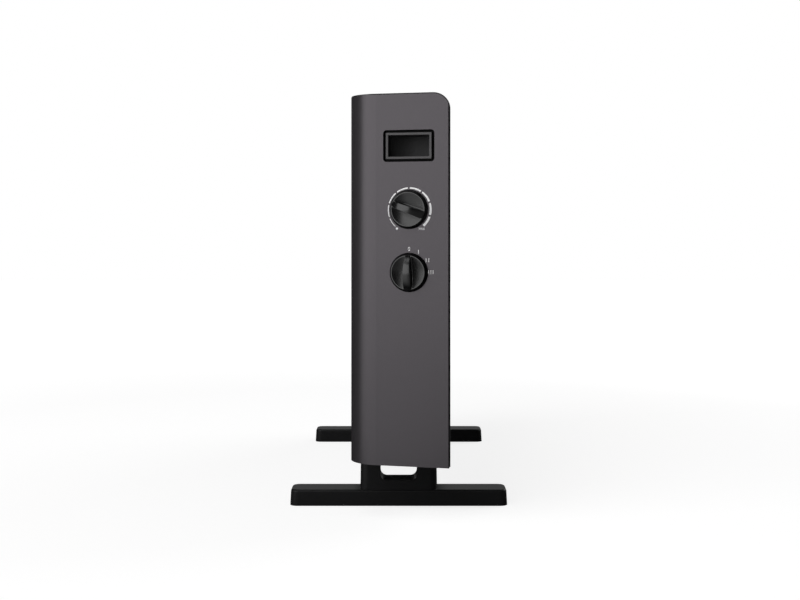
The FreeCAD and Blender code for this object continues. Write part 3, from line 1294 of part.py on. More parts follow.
def main():
    os.makedirs("parts", exist_ok=True)
    save("front_casing", front_casing())
    save("rear_cover", rear_cover())
    save("bottom_plate", bottom_plate())
    save("top_grille", top_grille())
    cup = at_handle(handle_cup())
    save("handle_cup_control_end", cup)
    save("handle_cup_far_end", mirrored(cup))
    trim = at_handle(handle_frame())
    save("handle_frame_control_end", trim)
    save("handle_frame_far_end", mirrored(trim))
    save("foot_control_end", foot_at(1))
    save("foot_far_end", foot_at(-1))

    save("thermostat_knob", on_end(turned(knob(), THERMOSTAT_REST), THERMOSTAT_Z))
    save("thermostat_spindle", on_end(turned(thermostat_spindle(), THERMOSTAT_REST), THERMOSTAT_Z))
    save("thermostat_frame", on_end(thermostat_frame(), THERMOSTAT_Z))
    save("thermostat_base", on_end(thermostat_base(), THERMOSTAT_Z))
    save("thermostat_bimetal", on_end(thermostat_bimetal(), THERMOSTAT_Z))
    blade_xs = (-BLADE_PITCH / 2, BLADE_PITCH / 2)
    save("thermostat_terminals", on_end(blades(blade_xs, thermostat_blade_back()), THERMOSTAT_Z))
    save("selector_knob", on_end(turned(knob(), SELECTOR_REST), SELECTOR_Z))
    save("selector_spindle", on_end(turned(selector_spindle(), SELECTOR_REST), SELECTOR_Z))
    save("selector_housing", on_end(selector_housing(), SELECTOR_Z))
    save("selector_back", on_end(selector_back(), SELECTOR_Z))
    save("selector_terminals", on_end(blades(selector_blade_xs(), selector_blade_back()), SELECTOR_Z))
    screws = [on_end(control_screws(), z) for z in (THERMOSTAT_Z, SELECTOR_Z)]
    save("control_screws", Part.makeCompound(screws))

    save("control_partition", control_partition())
    save("far_bracket", far_bracket())
    save("heat_shield", heat_shield())
    for name, z in (("lower", LOWER_ELEMENT_Z), ("upper", UPPER_ELEMENT_Z)):
        save(name + "_element_sheath", element_sheath(z))
        save(name + "_element_fins", element_fins(z))
    save("element_bushes", element_bushes())
    save("element_studs", element_studs())
    save("element_link", element_link())
    save("thermal_cutout", thermal_cutout())
    save("cutout_blades", cutout_blades())
    save("terminal_block", terminal_block())
    save("terminal_screws", terminal_screws())
    save("cord_gland", cord_gland())

    sheet_screw = screw(SMALL_SCREW, COVER_SHEET + CASING_SHEET)
    cover_screw = flush_screw(FLUSH_SCREW, COVER_SHEET + CASING_SHEET)
    save("cover_screws", group(cover_screw, cover_screw_places(), Vec(0, 1, 0)))
    save("plate_screws", group(sheet_screw, plate_screw_places(), Vec(0, 0, -1)))
    save("partition_screws", group(screw(SMALL_SCREW, BRACKET_SHEET + PLATE_SHEET), partition_screw_places(), Vec(0, 0, 1)))
    save("foot_screws", group(screw(FOOT_SCREW, FOOT_SCREW_GRIP + PLATE_SHEET), foot_screw_places(), Vec(0, 0, -1)))
    save("earth_tag", earth_tag())
    save("earth_screw", group(screw(SMALL_SCREW, TAG_SHEET + BRACKET_SHEET), [earth_place()], Vec(1, 0, 0)))
    save("lead_grommets", lead_grommets())
    save("live_lead", live_lead())
    save("thermostat_lead", thermostat_lead())
    save("cutout_lead", cutout_lead())
    save("upper_element_lead", upper_element_lead())
    save("lower_element_lead", lower_element_lead())
    save("neutral_lead", neutral_lead())
    save("earth_lead", earth_lead())
    save("shield_rivets", group(rivet(SHIELD_SHEET + BRACKET_SHEET), shield_rivet_places(), Vec(0, -1, 0)))


main()
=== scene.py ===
import json
import math

import bpy
import numpy as np
from mathutils import Matrix


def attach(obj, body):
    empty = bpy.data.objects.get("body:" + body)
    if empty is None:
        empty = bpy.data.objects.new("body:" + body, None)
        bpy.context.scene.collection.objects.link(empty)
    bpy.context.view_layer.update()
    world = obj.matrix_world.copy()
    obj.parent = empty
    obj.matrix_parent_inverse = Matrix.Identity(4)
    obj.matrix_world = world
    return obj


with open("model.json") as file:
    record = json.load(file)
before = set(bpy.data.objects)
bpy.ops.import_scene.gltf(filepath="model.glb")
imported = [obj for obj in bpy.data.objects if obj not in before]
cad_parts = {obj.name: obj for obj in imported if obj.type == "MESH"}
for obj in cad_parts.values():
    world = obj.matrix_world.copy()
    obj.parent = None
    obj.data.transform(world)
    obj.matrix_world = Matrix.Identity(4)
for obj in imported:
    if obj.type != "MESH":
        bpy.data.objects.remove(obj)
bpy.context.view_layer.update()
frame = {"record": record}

# Casing: one 0.8 mm steel sheet bent round the front wall and both flared ends.
# Its graphite powder coat is satin, with the soft orange peel and fine fleck of sprayed powder.

coat_drift, coat_peel, coat_fleck = 9.0, 700.0, 5200.0
coat_relief = 0.10
relief_depth = 0.0001
surface_outputs = {"Color": ("Colour",), "Float": ("Roughness", "Height")}


def new_group(name, inputs, outputs):
    """A node group with sockets named by kind: the group, its input links and its output node."""
    group = bpy.data.node_groups.new(name, "ShaderNodeTree")
    for way, kinds in (("INPUT", inputs), ("OUTPUT", outputs)):
        for kind, sockets in kinds.items():
            for socket in sockets:
                group.interface.new_socket(socket, in_out=way, socket_type="NodeSocket" + kind)
    return group, group.nodes.new("NodeGroupInput").outputs, group.nodes.new("NodeGroupOutput")


def fill(tree, node, sockets):
    """Gives each named socket of a node its value, or the link that feeds it."""
    for socket, value in sockets.items():
        if isinstance(value, bpy.types.NodeSocket):
            tree.links.new(value, node.inputs[socket])
        else:
            node.inputs[socket].default_value = value


def add_node(tree, kind, sockets=None, **settings):
    """A new shader node: first its settings, which decide what sockets it has, then these."""
    node = tree.nodes.new("ShaderNode" + kind)
    for setting, value in settings.items():
        setattr(node, setting, value)
    fill(tree, node, sockets or {})
    return node


def object_place(tree):
    """Link to the place of a point on the object."""
    return add_node(tree, "TexCoord").outputs["Object"]


def noise(tree, place, scale, detail, roughness=0.5):
    """Soft clouds between 0 and 1: a sum of finer and finer layers, as many as the detail says."""
    return add_node(tree, "TexNoise", {
        "Vector": place, "Scale": scale, "Detail": detail, "Roughness": roughness,
    }).outputs["Fac"]


def ramp(tree, value, start, stop, low=0.0, high=1.0):
    """A straight line from low at the start to high at the stop, level outside them."""
    return add_node(tree, "MapRange", {
        "Value": value, "From Min": start, "From Max": stop, "To Min": low, "To Max": high,
    }).outputs["Result"]


def mixed(tree, share, first, second):
    """The first colour where the share is 0, the second where it is 1, and a blend between."""
    return add_node(
        tree, "Mix", {"Factor": share, "A": first, "B": second}, data_type="RGBA",
    ).outputs["Result"]


def gloss_of(tree, given, pattern, start, stop):
    """Roughness from Gloss Low to Gloss High, as a pattern runs from the start to the stop."""
    return ramp(tree, pattern, start, stop, given["Gloss Low"], given["Gloss High"])


def coat_group():
    """Powder coat: a slow drift between two colours, a fleck, and a peel for gloss and height."""
    group, given, result = new_group("powder_coat", {
        "Color": ("Dark", "Light", "Fleck"),
        "Float": ("Fleck Share", "Drift Scale", "Peel Scale", "Gloss Low", "Gloss High"),
    }, surface_outputs)
    place = object_place(group)
    drift = noise(group, place, given["Drift Scale"], detail=4.0)
    peel = noise(group, place, given["Peel Scale"], detail=2.0)
    fleck = noise(group, place, coat_fleck, detail=1.0)
    grains = ramp(group, fleck, start=0.55, stop=0.75, high=given["Fleck Share"])
    base = mixed(group, drift, given["Dark"], given["Light"])
    fill(group, result, {
        "Colour": mixed(group, grains, base, given["Fleck"]),
        "Roughness": gloss_of(group, given, peel, start=0.3, stop=0.7),
        "Height": peel,
    })
    return group


def surfaced(name, group, looks, relief, depth, shine):
    """A Principled surface whose colour, gloss and relief come from one of the surface groups."""
    material = bpy.data.materials.new(name)
    material.use_nodes = True
    tree = material.node_tree
    surface = add_node(tree, "Group", looks, node_tree=group, name="surface")
    bump = add_node(tree, "Bump", {
        "Height": surface.outputs["Height"], "Strength": relief, "Distance": depth,
    })
    fill(tree, tree.nodes["Principled BSDF"], {
        "Base Color": surface.outputs["Colour"],
        "Roughness": surface.outputs["Roughness"],
        "Normal": bump.outputs["Normal"],
        **shine,
    })
    return material


powder_coat = coat_group()


def coated(name, dark, light, fleck, fleck_share, gloss, shine):
    """A powder-coated sheet: the colours of coat and fleck, and the least and most roughness."""
    return surfaced(name, powder_coat, {
        "Dark": (*dark, 1.0), "Light": (*light, 1.0), "Fleck": (*fleck, 1.0),
        "Fleck Share": fleck_share, "Drift Scale": coat_drift, "Peel Scale": coat_peel,
        "Gloss Low": gloss[0], "Gloss High": gloss[1],
    }, coat_relief, relief_depth, shine)


def finish(material, *nodes):
    """Gives CAD nodes their material."""
    for node in nodes:
        slots = bpy.data.objects[node].data.materials
        slots.clear()
        slots.append(material)


graphite_coat = coated(
    "graphite_coat", dark=(0.0238, 0.0221, 0.0240), light=(0.0270, 0.0251, 0.0272),
    fleck=(0.048, 0.045, 0.049), fleck_share=0.3, gloss=(0.31, 0.37),
    shine={"Specular IOR Level": 0.56, "Specular Tint": (1.0, 0.93, 1.0, 1.0)},
)
finish(graphite_coat, "front_casing")

# Bottom plate: the floor of the casing, with the intake slots, screwed up into its flanges.
# It is rolled steel, zinc-plated and passivated black: faint long streaks under cloudy patches.


def reckon(tree, operation, *values):
    """One step of arithmetic on numbers or links."""
    return add_node(
        tree, "Math", dict(enumerate(values)), operation=operation,
    ).outputs["Value"]


def metal_group():
    """Rolled or drawn metal: streaks one way, clouds of tarnish, and gloss from half of each."""
    group, given, result = new_group("worked_metal", {
        "Color": ("Clean", "Tarnish"),
        "Vector": ("Streak Stretch",),
        "Float": ("Cloud Scale", "Gloss Low", "Gloss High"),
    }, surface_outputs)
    place = object_place(group)
    stretched = add_node(
        group, "VectorMath", {0: place, 1: given["Streak Stretch"]}, operation="MULTIPLY",
    )
    streaks = noise(group, stretched.outputs["Vector"], scale=1.0, detail=3.0)
    clouds = noise(group, place, given["Cloud Scale"], detail=5.0, roughness=0.6)
    patches = ramp(group, clouds, start=0.38, stop=0.66)
    both = reckon(group, "MULTIPLY_ADD", streaks, 0.5, reckon(group, "MULTIPLY", clouds, 0.5))
    fill(group, result, {
        "Colour": mixed(group, patches, given["Clean"], given["Tarnish"]),
        "Roughness": gloss_of(group, given, both, start=0.35, stop=0.65),
        "Height": streaks,
    })
    return group


worked_metal = metal_group()


def metal(name, clean, tarnish, stretch, clouds, gloss, relief, metallic=1.0):
    """A worked metal: two colours, the streaks' fineness along X, Y and Z, and the clouds'."""
    return surfaced(name, worked_metal, {
        "Clean": (*clean, 1.0), "Tarnish": (*tarnish, 1.0), "Streak Stretch": stretch,
        "Cloud Scale": clouds, "Gloss Low": gloss[0], "Gloss High": gloss[1],
    }, relief, relief_depth, {"Metallic": metallic})


black_zinc = metal(
    "black_zinc", clean=(0.032, 0.032, 0.035), tarnish=(0.021, 0.022, 0.024),
    stretch=(30.0, 700.0, 700.0), clouds=90.0, gloss=(0.38, 0.52), relief=0.08,
)
finish(black_zinc, "bottom_plate")

# Partition and far bracket: folded sheets that close off the control bay and carry the elements.
# They are screwed to the bottom plate, in bright zinc-plated steel whose rolling runs upwards.
# The thermostat's frame is stamped from such sheet too.

zinc_fold = metal(
    "zinc_fold", clean=(0.56, 0.57, 0.58), tarnish=(0.44, 0.45, 0.46),
    stretch=(700.0, 700.0, 30.0), clouds=90.0, gloss=(0.30, 0.46), relief=0.08,
)
finish(zinc_fold, "control_partition", "far_bracket", "thermostat_frame")

# Heat shield: a bright aluminium sheet between the elements and the front wall.
# Four blind rivets of the same metal hold it to the partition and the far bracket.

bright_shield = metal(
    "bright_shield", clean=(0.82, 0.82, 0.83), tarnish=(0.72, 0.72, 0.73),
    stretch=(16.0, 500.0, 500.0), clouds=20.0, gloss=(0.14, 0.26), relief=0.06,
)
finish(bright_shield, "heat_shield", "shield_rivets")

# Heating elements: straight tubular sheaths of nickel steel, oxidised brown by their own heat.
# Thin aluminium fins are pressed over them in a close row.

oxidised_sheath = metal(
    "oxidised_sheath", clean=(0.22, 0.19, 0.16), tarnish=(0.10, 0.085, 0.08),
    stretch=(60.0, 900.0, 900.0), clouds=45.0, gloss=(0.38, 0.58), relief=0.10,
)
finish(oxidised_sheath, "lower_element_sheath", "upper_element_sheath")

fin_stock = metal(
    "fin_stock", clean=(0.70, 0.70, 0.71), tarnish=(0.55, 0.54, 0.53),
    stretch=(900.0, 900.0, 60.0), clouds=70.0, gloss=(0.28, 0.42), relief=0.06,
)
finish(fin_stock, "lower_element_fins", "upper_element_fins")

# Steatite: the bushes that hold the elements, the cut-out's body and the thermostat's base.
# Dry-pressed and fired, it is cream-white, faintly speckled and only half glossy.


def body_group():
    """Moulded body: speckle between two colours, and a tool's grain for gloss and height."""
    group, given, result = new_group("moulded_body", {
        "Color": ("Body", "Speckle"),
        "Float": ("Speckle Scale", "Grain Scale", "Gloss Low", "Gloss High"),
    }, surface_outputs)
    place = object_place(group)
    speckle = noise(group, place, given["Speckle Scale"], detail=6.0)
    grain = add_node(
        group, "TexVoronoi", {"Vector": place, "Scale": given["Grain Scale"]},
        feature="SMOOTH_F1",
    ).outputs["Distance"]
    fill(group, result, {
        "Colour": mixed(group, speckle, given["Body"], given["Speckle"]),
        "Roughness": gloss_of(group, given, grain, start=0.1, stop=0.7),
        "Height": grain,
    })
    return group


moulded_body = body_group()


def moulded(name, body, speckle, scales, gloss, relief, shine, depth=relief_depth):
    """A moulded or pressed body: two colours, and the fineness of its speckle and its grain."""
    return surfaced(name, moulded_body, {
        "Body": (*body, 1.0), "Speckle": (*speckle, 1.0),
        "Speckle Scale": scales[0], "Grain Scale": scales[1],
        "Gloss Low": gloss[0], "Gloss High": gloss[1],
    }, relief, depth, shine)


steatite = moulded(
    "steatite", body=(0.74, 0.70, 0.62), speckle=(0.66, 0.61, 0.52), scales=(700.0, 3000.0),
    gloss=(0.32, 0.46), relief=0.10, shine={"Specular IOR Level": 0.55},
)
finish(steatite, "element_bushes", "thermal_cutout", "thermostat_base")

# Brass and plated small parts: link strip, blades, terminals, earth tag and clamp screws, all of
# brass and stamped or turned. The studs, the other screws and the thermostat's spindle are
# zinc-plated steel.

stamped_brass = metal(
    "stamped_brass", clean=(0.72, 0.53, 0.22), tarnish=(0.55, 0.38, 0.16),
    stretch=(200.0, 900.0, 900.0), clouds=160.0, gloss=(0.22, 0.38), relief=0.06,
)
finish(
    stamped_brass, "element_link", "cutout_blades", "thermostat_terminals",
    "selector_terminals", "terminal_screws", "earth_tag",
)

zinc_screw = metal(
    "zinc_screw", clean=(0.60, 0.61, 0.62), tarnish=(0.46, 0.46, 0.47),
    stretch=(500.0, 500.0, 500.0), clouds=300.0, gloss=(0.24, 0.40), relief=0.05,
)
finish(
    zinc_screw, "element_studs", "control_screws", "plate_screws", "partition_screws",
    "foot_screws", "earth_screw", "thermostat_spindle",
)

# Thermostat leaf: a strip of rolled bimetal, riveted to the ceramic base by one end.
# Its colour lies between brass and nickel, with the rolling along the strip.

rolled_bimetal = metal(
    "rolled_bimetal", clean=(0.62, 0.56, 0.48), tarnish=(0.50, 0.45, 0.40),
    stretch=(600.0, 600.0, 40.0), clouds=120.0, gloss=(0.26, 0.36), relief=0.06,
)
finish(rolled_bimetal, "thermostat_bimetal")

# Selector switch and terminal block: natural nylon, slightly yellow and smooth.
# The switch's back plate is snapped on, and the block is screwed to the bottom plate.

natural_nylon = moulded(
    "natural_nylon", body=(0.66, 0.63, 0.55), speckle=(0.62, 0.58, 0.49),
    scales=(120.0, 2600.0), gloss=(0.36, 0.46), relief=0.08,
    shine={"Specular IOR Level": 0.5},
)
finish(
    natural_nylon, "selector_housing", "selector_back", "selector_spindle", "terminal_block",
)

# Leads: stranded copper in extruded insulation, with rubber grommets in the sheets.
# Each duty has its own colour, and the earth lead is green and yellow.


def insulation(name, body, bloom):
    """Extruded insulation: a colour with a faint bloom of another."""
    return moulded(
        name, body, bloom, scales=(260.0, 1800.0), gloss=(0.34, 0.46), relief=0.05,
        shine={"Specular IOR Level": 0.45},
    )


black_lead = insulation("black_lead", (0.012, 0.012, 0.012), (0.020, 0.020, 0.020))
brown_lead = insulation("brown_lead", (0.115, 0.048, 0.022), (0.135, 0.060, 0.030))
blue_lead = insulation("blue_lead", (0.020, 0.095, 0.380), (0.030, 0.115, 0.420))
green_lead = insulation("green_lead", (0.045, 0.260, 0.050), (0.620, 0.560, 0.040))
finish(
    black_lead, "thermostat_lead", "cutout_lead", "upper_element_lead", "lower_element_lead",
    "lead_grommets",
)
finish(brown_lead, "live_lead")
finish(blue_lead, "neutral_lead")
finish(green_lead, "earth_lead")

# Rear cover: the back, the bend and the top in one black sheet, with vents, held by flush screws
# that are blacked to match. The coat is the casing's, in black and a little more matt; its cut
# edges beside the end walls are left dull.

cover_edge = 0.0010
edge_blur = 0.0003
cover_gloss = 0.9


def end_wall(joint_name):
    """Frame of the printed face: where the knob's axis meets it, right, up and outwards."""
    joints = frame["record"]["behaviour"]["joints"]
    joint = next(joint for joint in joints if joint["name"] == joint_name)
    outward = -np.array(joint["axis"], dtype=float)
    upward = np.array((0.0, 0.0, 1.0))
    return np.array(joint["pos_m"], dtype=float), np.cross(upward, outward), upward, outward


thermostat_wall = end_wall("thermostat_turn")


def wall_group(wall):
    """Nearness to the end walls: 1 down to a depth under the face, then 0; |x| joins both ends."""
    origin, _, _, outward = wall
    group, given, result = new_group(
        "near_end_wall", {"Float": ("Depth",)}, {"Float": ("Near",)},
    )
    along = add_node(group, "SeparateXYZ", {"Vector": object_place(group)}).outputs
    length = reckon(group, "ABSOLUTE", along["X"])
    level = reckon(group, "MULTIPLY_ADD", along["Y"], outward[1], -(outward @ origin))
    height = reckon(group, "MULTIPLY_ADD", length, outward[0], level)
    above = reckon(group, "ADD", height, given["Depth"])
    fill(group, result, {"Near": ramp(group, above, -edge_blur, 0.0)})
    return group


near_end_wall = wall_group(thermostat_wall)


def beside_wall(tree, depth):
    """Places the nearness to the end walls in a material and gives its link."""
    return add_node(tree, "Group", {"Depth": depth}, node_tree=near_end_wall).outputs["Near"]


black_coat = coated(
    "black_coat", dark=(0.0095, 0.0095, 0.0100), light=(0.0120, 0.0120, 0.0125),
    fleck=(0.024, 0.024, 0.025), fleck_share=0.25, gloss=(0.46, 0.54),
    shine={"Specular IOR Level": 0.06, "Coat Roughness": 0.38},
)
cover_tree = black_coat.node_tree
fill(cover_tree, cover_tree.nodes["Principled BSDF"], {
    "Coat Weight": ramp(
        cover_tree, beside_wall(cover_tree, cover_edge), 0.0, 1.0, low=cover_gloss, high=0.0,
    ),
})
finish(black_coat, "rear_cover")

blacked_screw = metal(
    "blacked_screw", clean=(0.035, 0.035, 0.037), tarnish=(0.022, 0.022, 0.024),
    stretch=(500.0, 500.0, 500.0), clouds=300.0, gloss=(0.30, 0.42), relief=0.05, metallic=0.6,
)
finish(blacked_screw, "cover_screws")

# Mouldings: outlet grille, feet and cord gland, injected in black polypropylene.
# The tool's spark-eroded face gives them a fine, even grain; grille and gland snap in, and the
# feet are screwed on.

black_moulding = moulded(
    "black_moulding", body=(0.0090, 0.0090, 0.0093), speckle=(0.0112, 0.0112, 0.0116),
    scales=(60.0, 2200.0), gloss=(0.29, 0.36), relief=0.12,
    shine={"Specular IOR Level": 0.14},
)
finish(black_moulding, "top_grille", "foot_control_end", "foot_far_end", "cord_gland")

# Handles: black finger cups bonded behind both end walls, with a deep groove round the mouth.
# A graphite frame in the casing's colour, with a fine bevel, is bonded on the ridge inside it.
# The cup's flange, which is the groove's floor, is painted dead black as shade in the deep groove.

groove_floor = 0.0065
painted_groove_shade = (0.0008, 0.0008, 0.0008, 1.0)
cup_moulding = moulded(
    "cup_moulding", body=(0.042, 0.042, 0.043), speckle=(0.050, 0.050, 0.051),
    scales=(60.0, 2200.0), gloss=(0.42, 0.52), relief=0.12,
    shine={"Specular IOR Level": 0.05},
)
cup_tree = cup_moulding.node_tree
# Painted shade: the groove floor's dead black stands in for the shadow deep in the groove.
fill(cup_tree, cup_tree.nodes["Principled BSDF"], {
    "Base Color": mixed(
        cup_tree, beside_wall(cup_tree, groove_floor),
        cup_tree.nodes["surface"].outputs["Colour"], painted_groove_shade,
    ),
})
finish(cup_moulding, "handle_cup_control_end", "handle_cup_far_end")

graphite_moulding = moulded(
    "graphite_moulding", body=(0.046, 0.044, 0.046), speckle=(0.054, 0.051, 0.054),
    scales=(60.0, 2600.0), gloss=(0.40, 0.48), relief=0.06,
    shine={"Specular IOR Level": 0.4},
)
finish(graphite_moulding, "handle_frame_control_end", "handle_frame_far_end")

# Knobs: black ABS, with a polished grip bar between two polished scoops, and a dull skirt.
# They are pressed on the flats of the spindles.

knob_face = 0.0173
polish_blur = 0.0002
face_gloss = 0.95
fine_relief = 0.00005
selector_wall = end_wall("selector_turn")
knob_moulding = moulded(
    "knob_moulding", body=(0.0018, 0.0018, 0.0019), speckle=(0.0028, 0.0028, 0.0029),
    scales=(90.0, 3200.0), gloss=(0.42, 0.50), relief=0.05, depth=fine_relief,
    shine={"Specular IOR Level": 0.06, "Coat Roughness": 0.24},
)


def polish_face(tree, upper, lower, radius):
    """Coat inside a radius from the nearer of two axes, one above the other on the wall.

    A point's way from that axis has two parts: how far it lies across the wall, and
    |z - middle| less half the distance between the axes.
    """
    origin, rightward, _, _ = upper
    middle, half = (origin[2] + lower[0][2]) / 2, (origin[2] - lower[0][2]) / 2
    along = add_node(tree, "SeparateXYZ", {"Vector": object_place(tree)}).outputs
    offset = reckon(tree, "MULTIPLY_ADD", along["Y"], rightward[1], -(rightward @ origin))
    across = reckon(tree, "MULTIPLY_ADD", along["X"], rightward[0], offset)
    rise = reckon(tree, "ABSOLUTE", reckon(tree, "SUBTRACT", along["Z"], middle))
    folded = reckon(tree, "SUBTRACT", rise, half)
    flat = add_node(tree, "CombineXYZ", {"X": across, "Y": folded}).outputs["Vector"]
    reach = add_node(tree, "VectorMath", {0: flat}, operation="LENGTH").outputs["Value"]
    polish = ramp(tree, reach, radius, radius + polish_blur, low=face_gloss, high=0.0)
    fill(tree, tree.nodes["Principled BSDF"], {"Coat Weight": polish})


polish_face(knob_moulding.node_tree, thermostat_wall, selector_wall, knob_face)
finish(knob_moulding, "thermostat_knob", "selector_knob")

# Thermostat scale: white ink printed on the end wall round the knob, in eight strokes that grow
# with the heat. A dot marks the coldest end.

ink_depth = 0.00005
scale_outer = 0.0225
scale_shift = (0.0008, -0.0003)
scale_end = math.radians(138.7)
scale_middle = math.radians(-2.5)
stroke_count = 8
stroke_pitch = math.radians(36.3)
stroke_gap = math.radians(5.0)
stroke_thin, stroke_thick = 0.0005, 0.0024
dot_across, dot_up, dot_radius = -0.0123, -0.0192, 0.0011


def on_wall(wall, across, up, out):
    """Points of the printed face: its origin plus each coordinate along its own direction."""
    origin, rightward, upward, outward = wall
    flat = origin + across[..., None] * rightward + up[..., None] * upward
    return flat + out[..., None] * outward


def stroke(wall, start, stop, thick_start, thick_stop, steps=24):
    """A four-cornered section carried along an arc, its inner side moving in as it thickens."""
    turn = np.linspace(start, stop, steps)[:, None]
    thick = np.linspace(thick_start, thick_stop, steps)[:, None]
    inner = np.array((1.0, 0.0, 0.0, 1.0))
    high = np.array((0.0, 0.0, 1.0, 1.0))
    corners = len(inner)
    radius = scale_outer - thick * inner
    across = scale_shift[0] + radius * np.sin(turn)
    up = scale_shift[1] + radius * np.cos(turn)
    points = on_wall(wall, across, up, ink_depth * high)
    corner, section = np.arange(corners), corners * np.arange(steps - 1)[:, None]
    near, far = section + corner, section + (corner + 1) % corners
    sides = np.stack((near, near + corners, far + corners, far), axis=-1).reshape(-1, 4)
    last = corners * (steps - 1)
    caps = [corner.tolist(), (last + corner[::-1]).tolist()]
    return points.reshape(-1, 3), sides.tolist() + caps


def spot(wall, across, up, radius, steps=28):
    """A round dot: a circle at the wall and one at the ink's face, a rim between, and discs."""
    turn = np.linspace(0.0, 2.0 * math.pi, steps, endpoint=False)
    high = np.array((0.0, 1.0))[:, None]
    points = on_wall(
        wall, across + radius * np.sin(turn), up + radius * np.cos(turn), ink_depth * high,
    )
    ring = np.arange(steps)
    after = (ring + 1) % steps
    rim = np.stack((ring, ring + steps, after + steps, after), axis=-1)
    discs = [ring.tolist(), (ring[::-1] + steps).tolist()]
    return points.reshape(-1, 3), rim.tolist() + discs


def joined(parts):
    """Several point and face sets as one, with the later faces' numbers moved on."""
    points, faces, count = [], [], 0
    for part_points, part_faces in parts:
        points.append(part_points)
        faces += [[count + corner for corner in face] for face in part_faces]
        count += len(part_points)
    return np.concatenate(points), faces


def add_piece(name, mesh, material):
    """An object at the origin, unturned, whose place is in its mesh."""
    mesh.name = name
    mesh.materials.clear()
    mesh.materials.append(material)
    piece = bpy.data.objects.new(name, mesh)
    bpy.context.scene.collection.objects.link(piece)
    return piece


white_ink = moulded(
    "white_ink", body=(0.97, 0.97, 0.97), speckle=(0.93, 0.93, 0.93), scales=(900.0, 3000.0),
    gloss=(0.45, 0.6), relief=0.05, depth=fine_relief, shine={"Specular IOR Level": 0.3},
)
gaps = scale_middle + (np.arange(stroke_count - 1) - (stroke_count - 2) / 2) * stroke_pitch
starts = np.concatenate(((-scale_end,), gaps + stroke_gap / 2))
stops = np.concatenate((gaps - stroke_gap / 2, (scale_end,)))
widths = np.linspace(stroke_thin, stroke_thick, stroke_count + 1)
scale_parts = [
    stroke(thermostat_wall, *ends) for ends in zip(starts, stops, widths[:-1], widths[1:])
]
scale_parts.append(spot(thermostat_wall, dot_across, dot_up, dot_radius))
scale_points, scale_faces = joined(scale_parts)
scale_mesh = bpy.data.meshes.new("thermostat_scale")
scale_mesh.from_pydata(scale_points.tolist(), [], scale_faces)
thermostat_scale = add_piece("thermostat_scale", scale_mesh, white_ink)
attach(thermostat_scale, "body")

# Printed words: the hot end of the thermostat's scale and the selector's four positions.
# They are printed in the same ink, in one pass with the scale.

font_depth = 0.02
word_height, zero_height, numeral_height = 0.0024, 0.0041, 0.0038


def printed(name, words, wall, across, up, height, spacing=1.0, narrow=1.0):
    """Upright lettering: the font's outline as a mesh, brought to its height and breadth,
    and laid on the wall about the middle of its box."""
    letters = bpy.data.curves.new(name, "FONT")
    letters.body = words
    letters.extrude = font_depth
    letters.space_character = spacing
    holder = bpy.data.objects.new(name + "_outline", letters)
    bpy.context.scene.collection.objects.link(holder)
    seen = holder.evaluated_get(bpy.context.evaluated_depsgraph_get())
    shape = bpy.data.meshes.new_from_object(seen)
    bpy.data.objects.remove(holder)
    flat = np.empty(3 * len(shape.vertices))
    shape.vertices.foreach_get("co", flat)
    flat = flat.reshape(-1, 3)
    low, high = flat.min(axis=0), flat.max(axis=0)
    flat = (flat - (low + high) / 2) * (height / (high[1] - low[1]))
    out = np.where(flat[:, 2] > 0, ink_depth, 0.0)
    points = on_wall(wall, across + narrow * flat[:, 0], up + flat[:, 1], out)
    shape.vertices.foreach_set("co", points.ravel())
    piece = add_piece(name, shape, white_ink)
    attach(piece, "body")


printed(
    "thermostat_hottest", "MAX", thermostat_wall,
    across=0.0133, up=-0.0194, height=word_height, narrow=0.84,
)
printed(
    "selector_off", "0", selector_wall,
    across=0.0001, up=0.0235, height=zero_height, narrow=0.85,
)
printed(
    "selector_first", "I", selector_wall,
    across=0.0098, up=0.0205, height=numeral_height,
)
printed(
    "selector_second", "II", selector_wall,
    across=0.0190, up=0.0123, height=numeral_height, spacing=1.5,
)
printed(
    "selector_third", "III", selector_wall,
    across=0.0225, up=0.0004, height=numeral_height, spacing=1.3,
)

# Camera: level, on the heater's length axis, at a height between those of the two knobs.
# It looks along the heater at the control end, and its shift frames the view.

image_width, focal_pixels = 800, 1221.3
sensor_width = 36.0
camera_away, camera_height = 1.513, 0.2885
quarter_turn = math.pi / 2

camera = bpy.data.cameras.new("camera")
camera.sensor_width = sensor_width
camera.lens = sensor_width * focal_pixels / image_width
camera.shift_x = 0.0016
camera.shift_y = -0.0824
camera.clip_end = 50.0
viewer = bpy.data.objects.new("camera", camera)
viewer.location = (camera_away, 0.0, camera_height)
viewer.rotation_euler = (quarter_turn, 0.0, quarter_turn)
bpy.context.scene.collection.objects.link(viewer)
bpy.context.scene.camera = viewer
bpy.context.scene.view_settings.view_transform = "Standard"

# Floor: a pale sheet that keeps the heater's shadow and is white to the camera.
# In gloss it carries a painted glow, a wedge that opens from the end wall towards the key box,
# which the end wall mirrors.
# Beside the part, gloss sees the floor painted dark, as painted shade.

floor_reach = 6.0
floor_tone, painted_shade_tone = (0.38, 0.38, 0.38, 1.0), (0.02, 0.02, 0.02, 1.0)
dim_from, dim_to = 0.45, 0.30
painted_glow_strength = 1.14
glow_from, glow_to = 0.32, 0.56
wedge_from, wedge_to = -0.14, -0.40
white_near, white_far = 0.77, 1.0
white_from, white_to = 0.8, 2.6

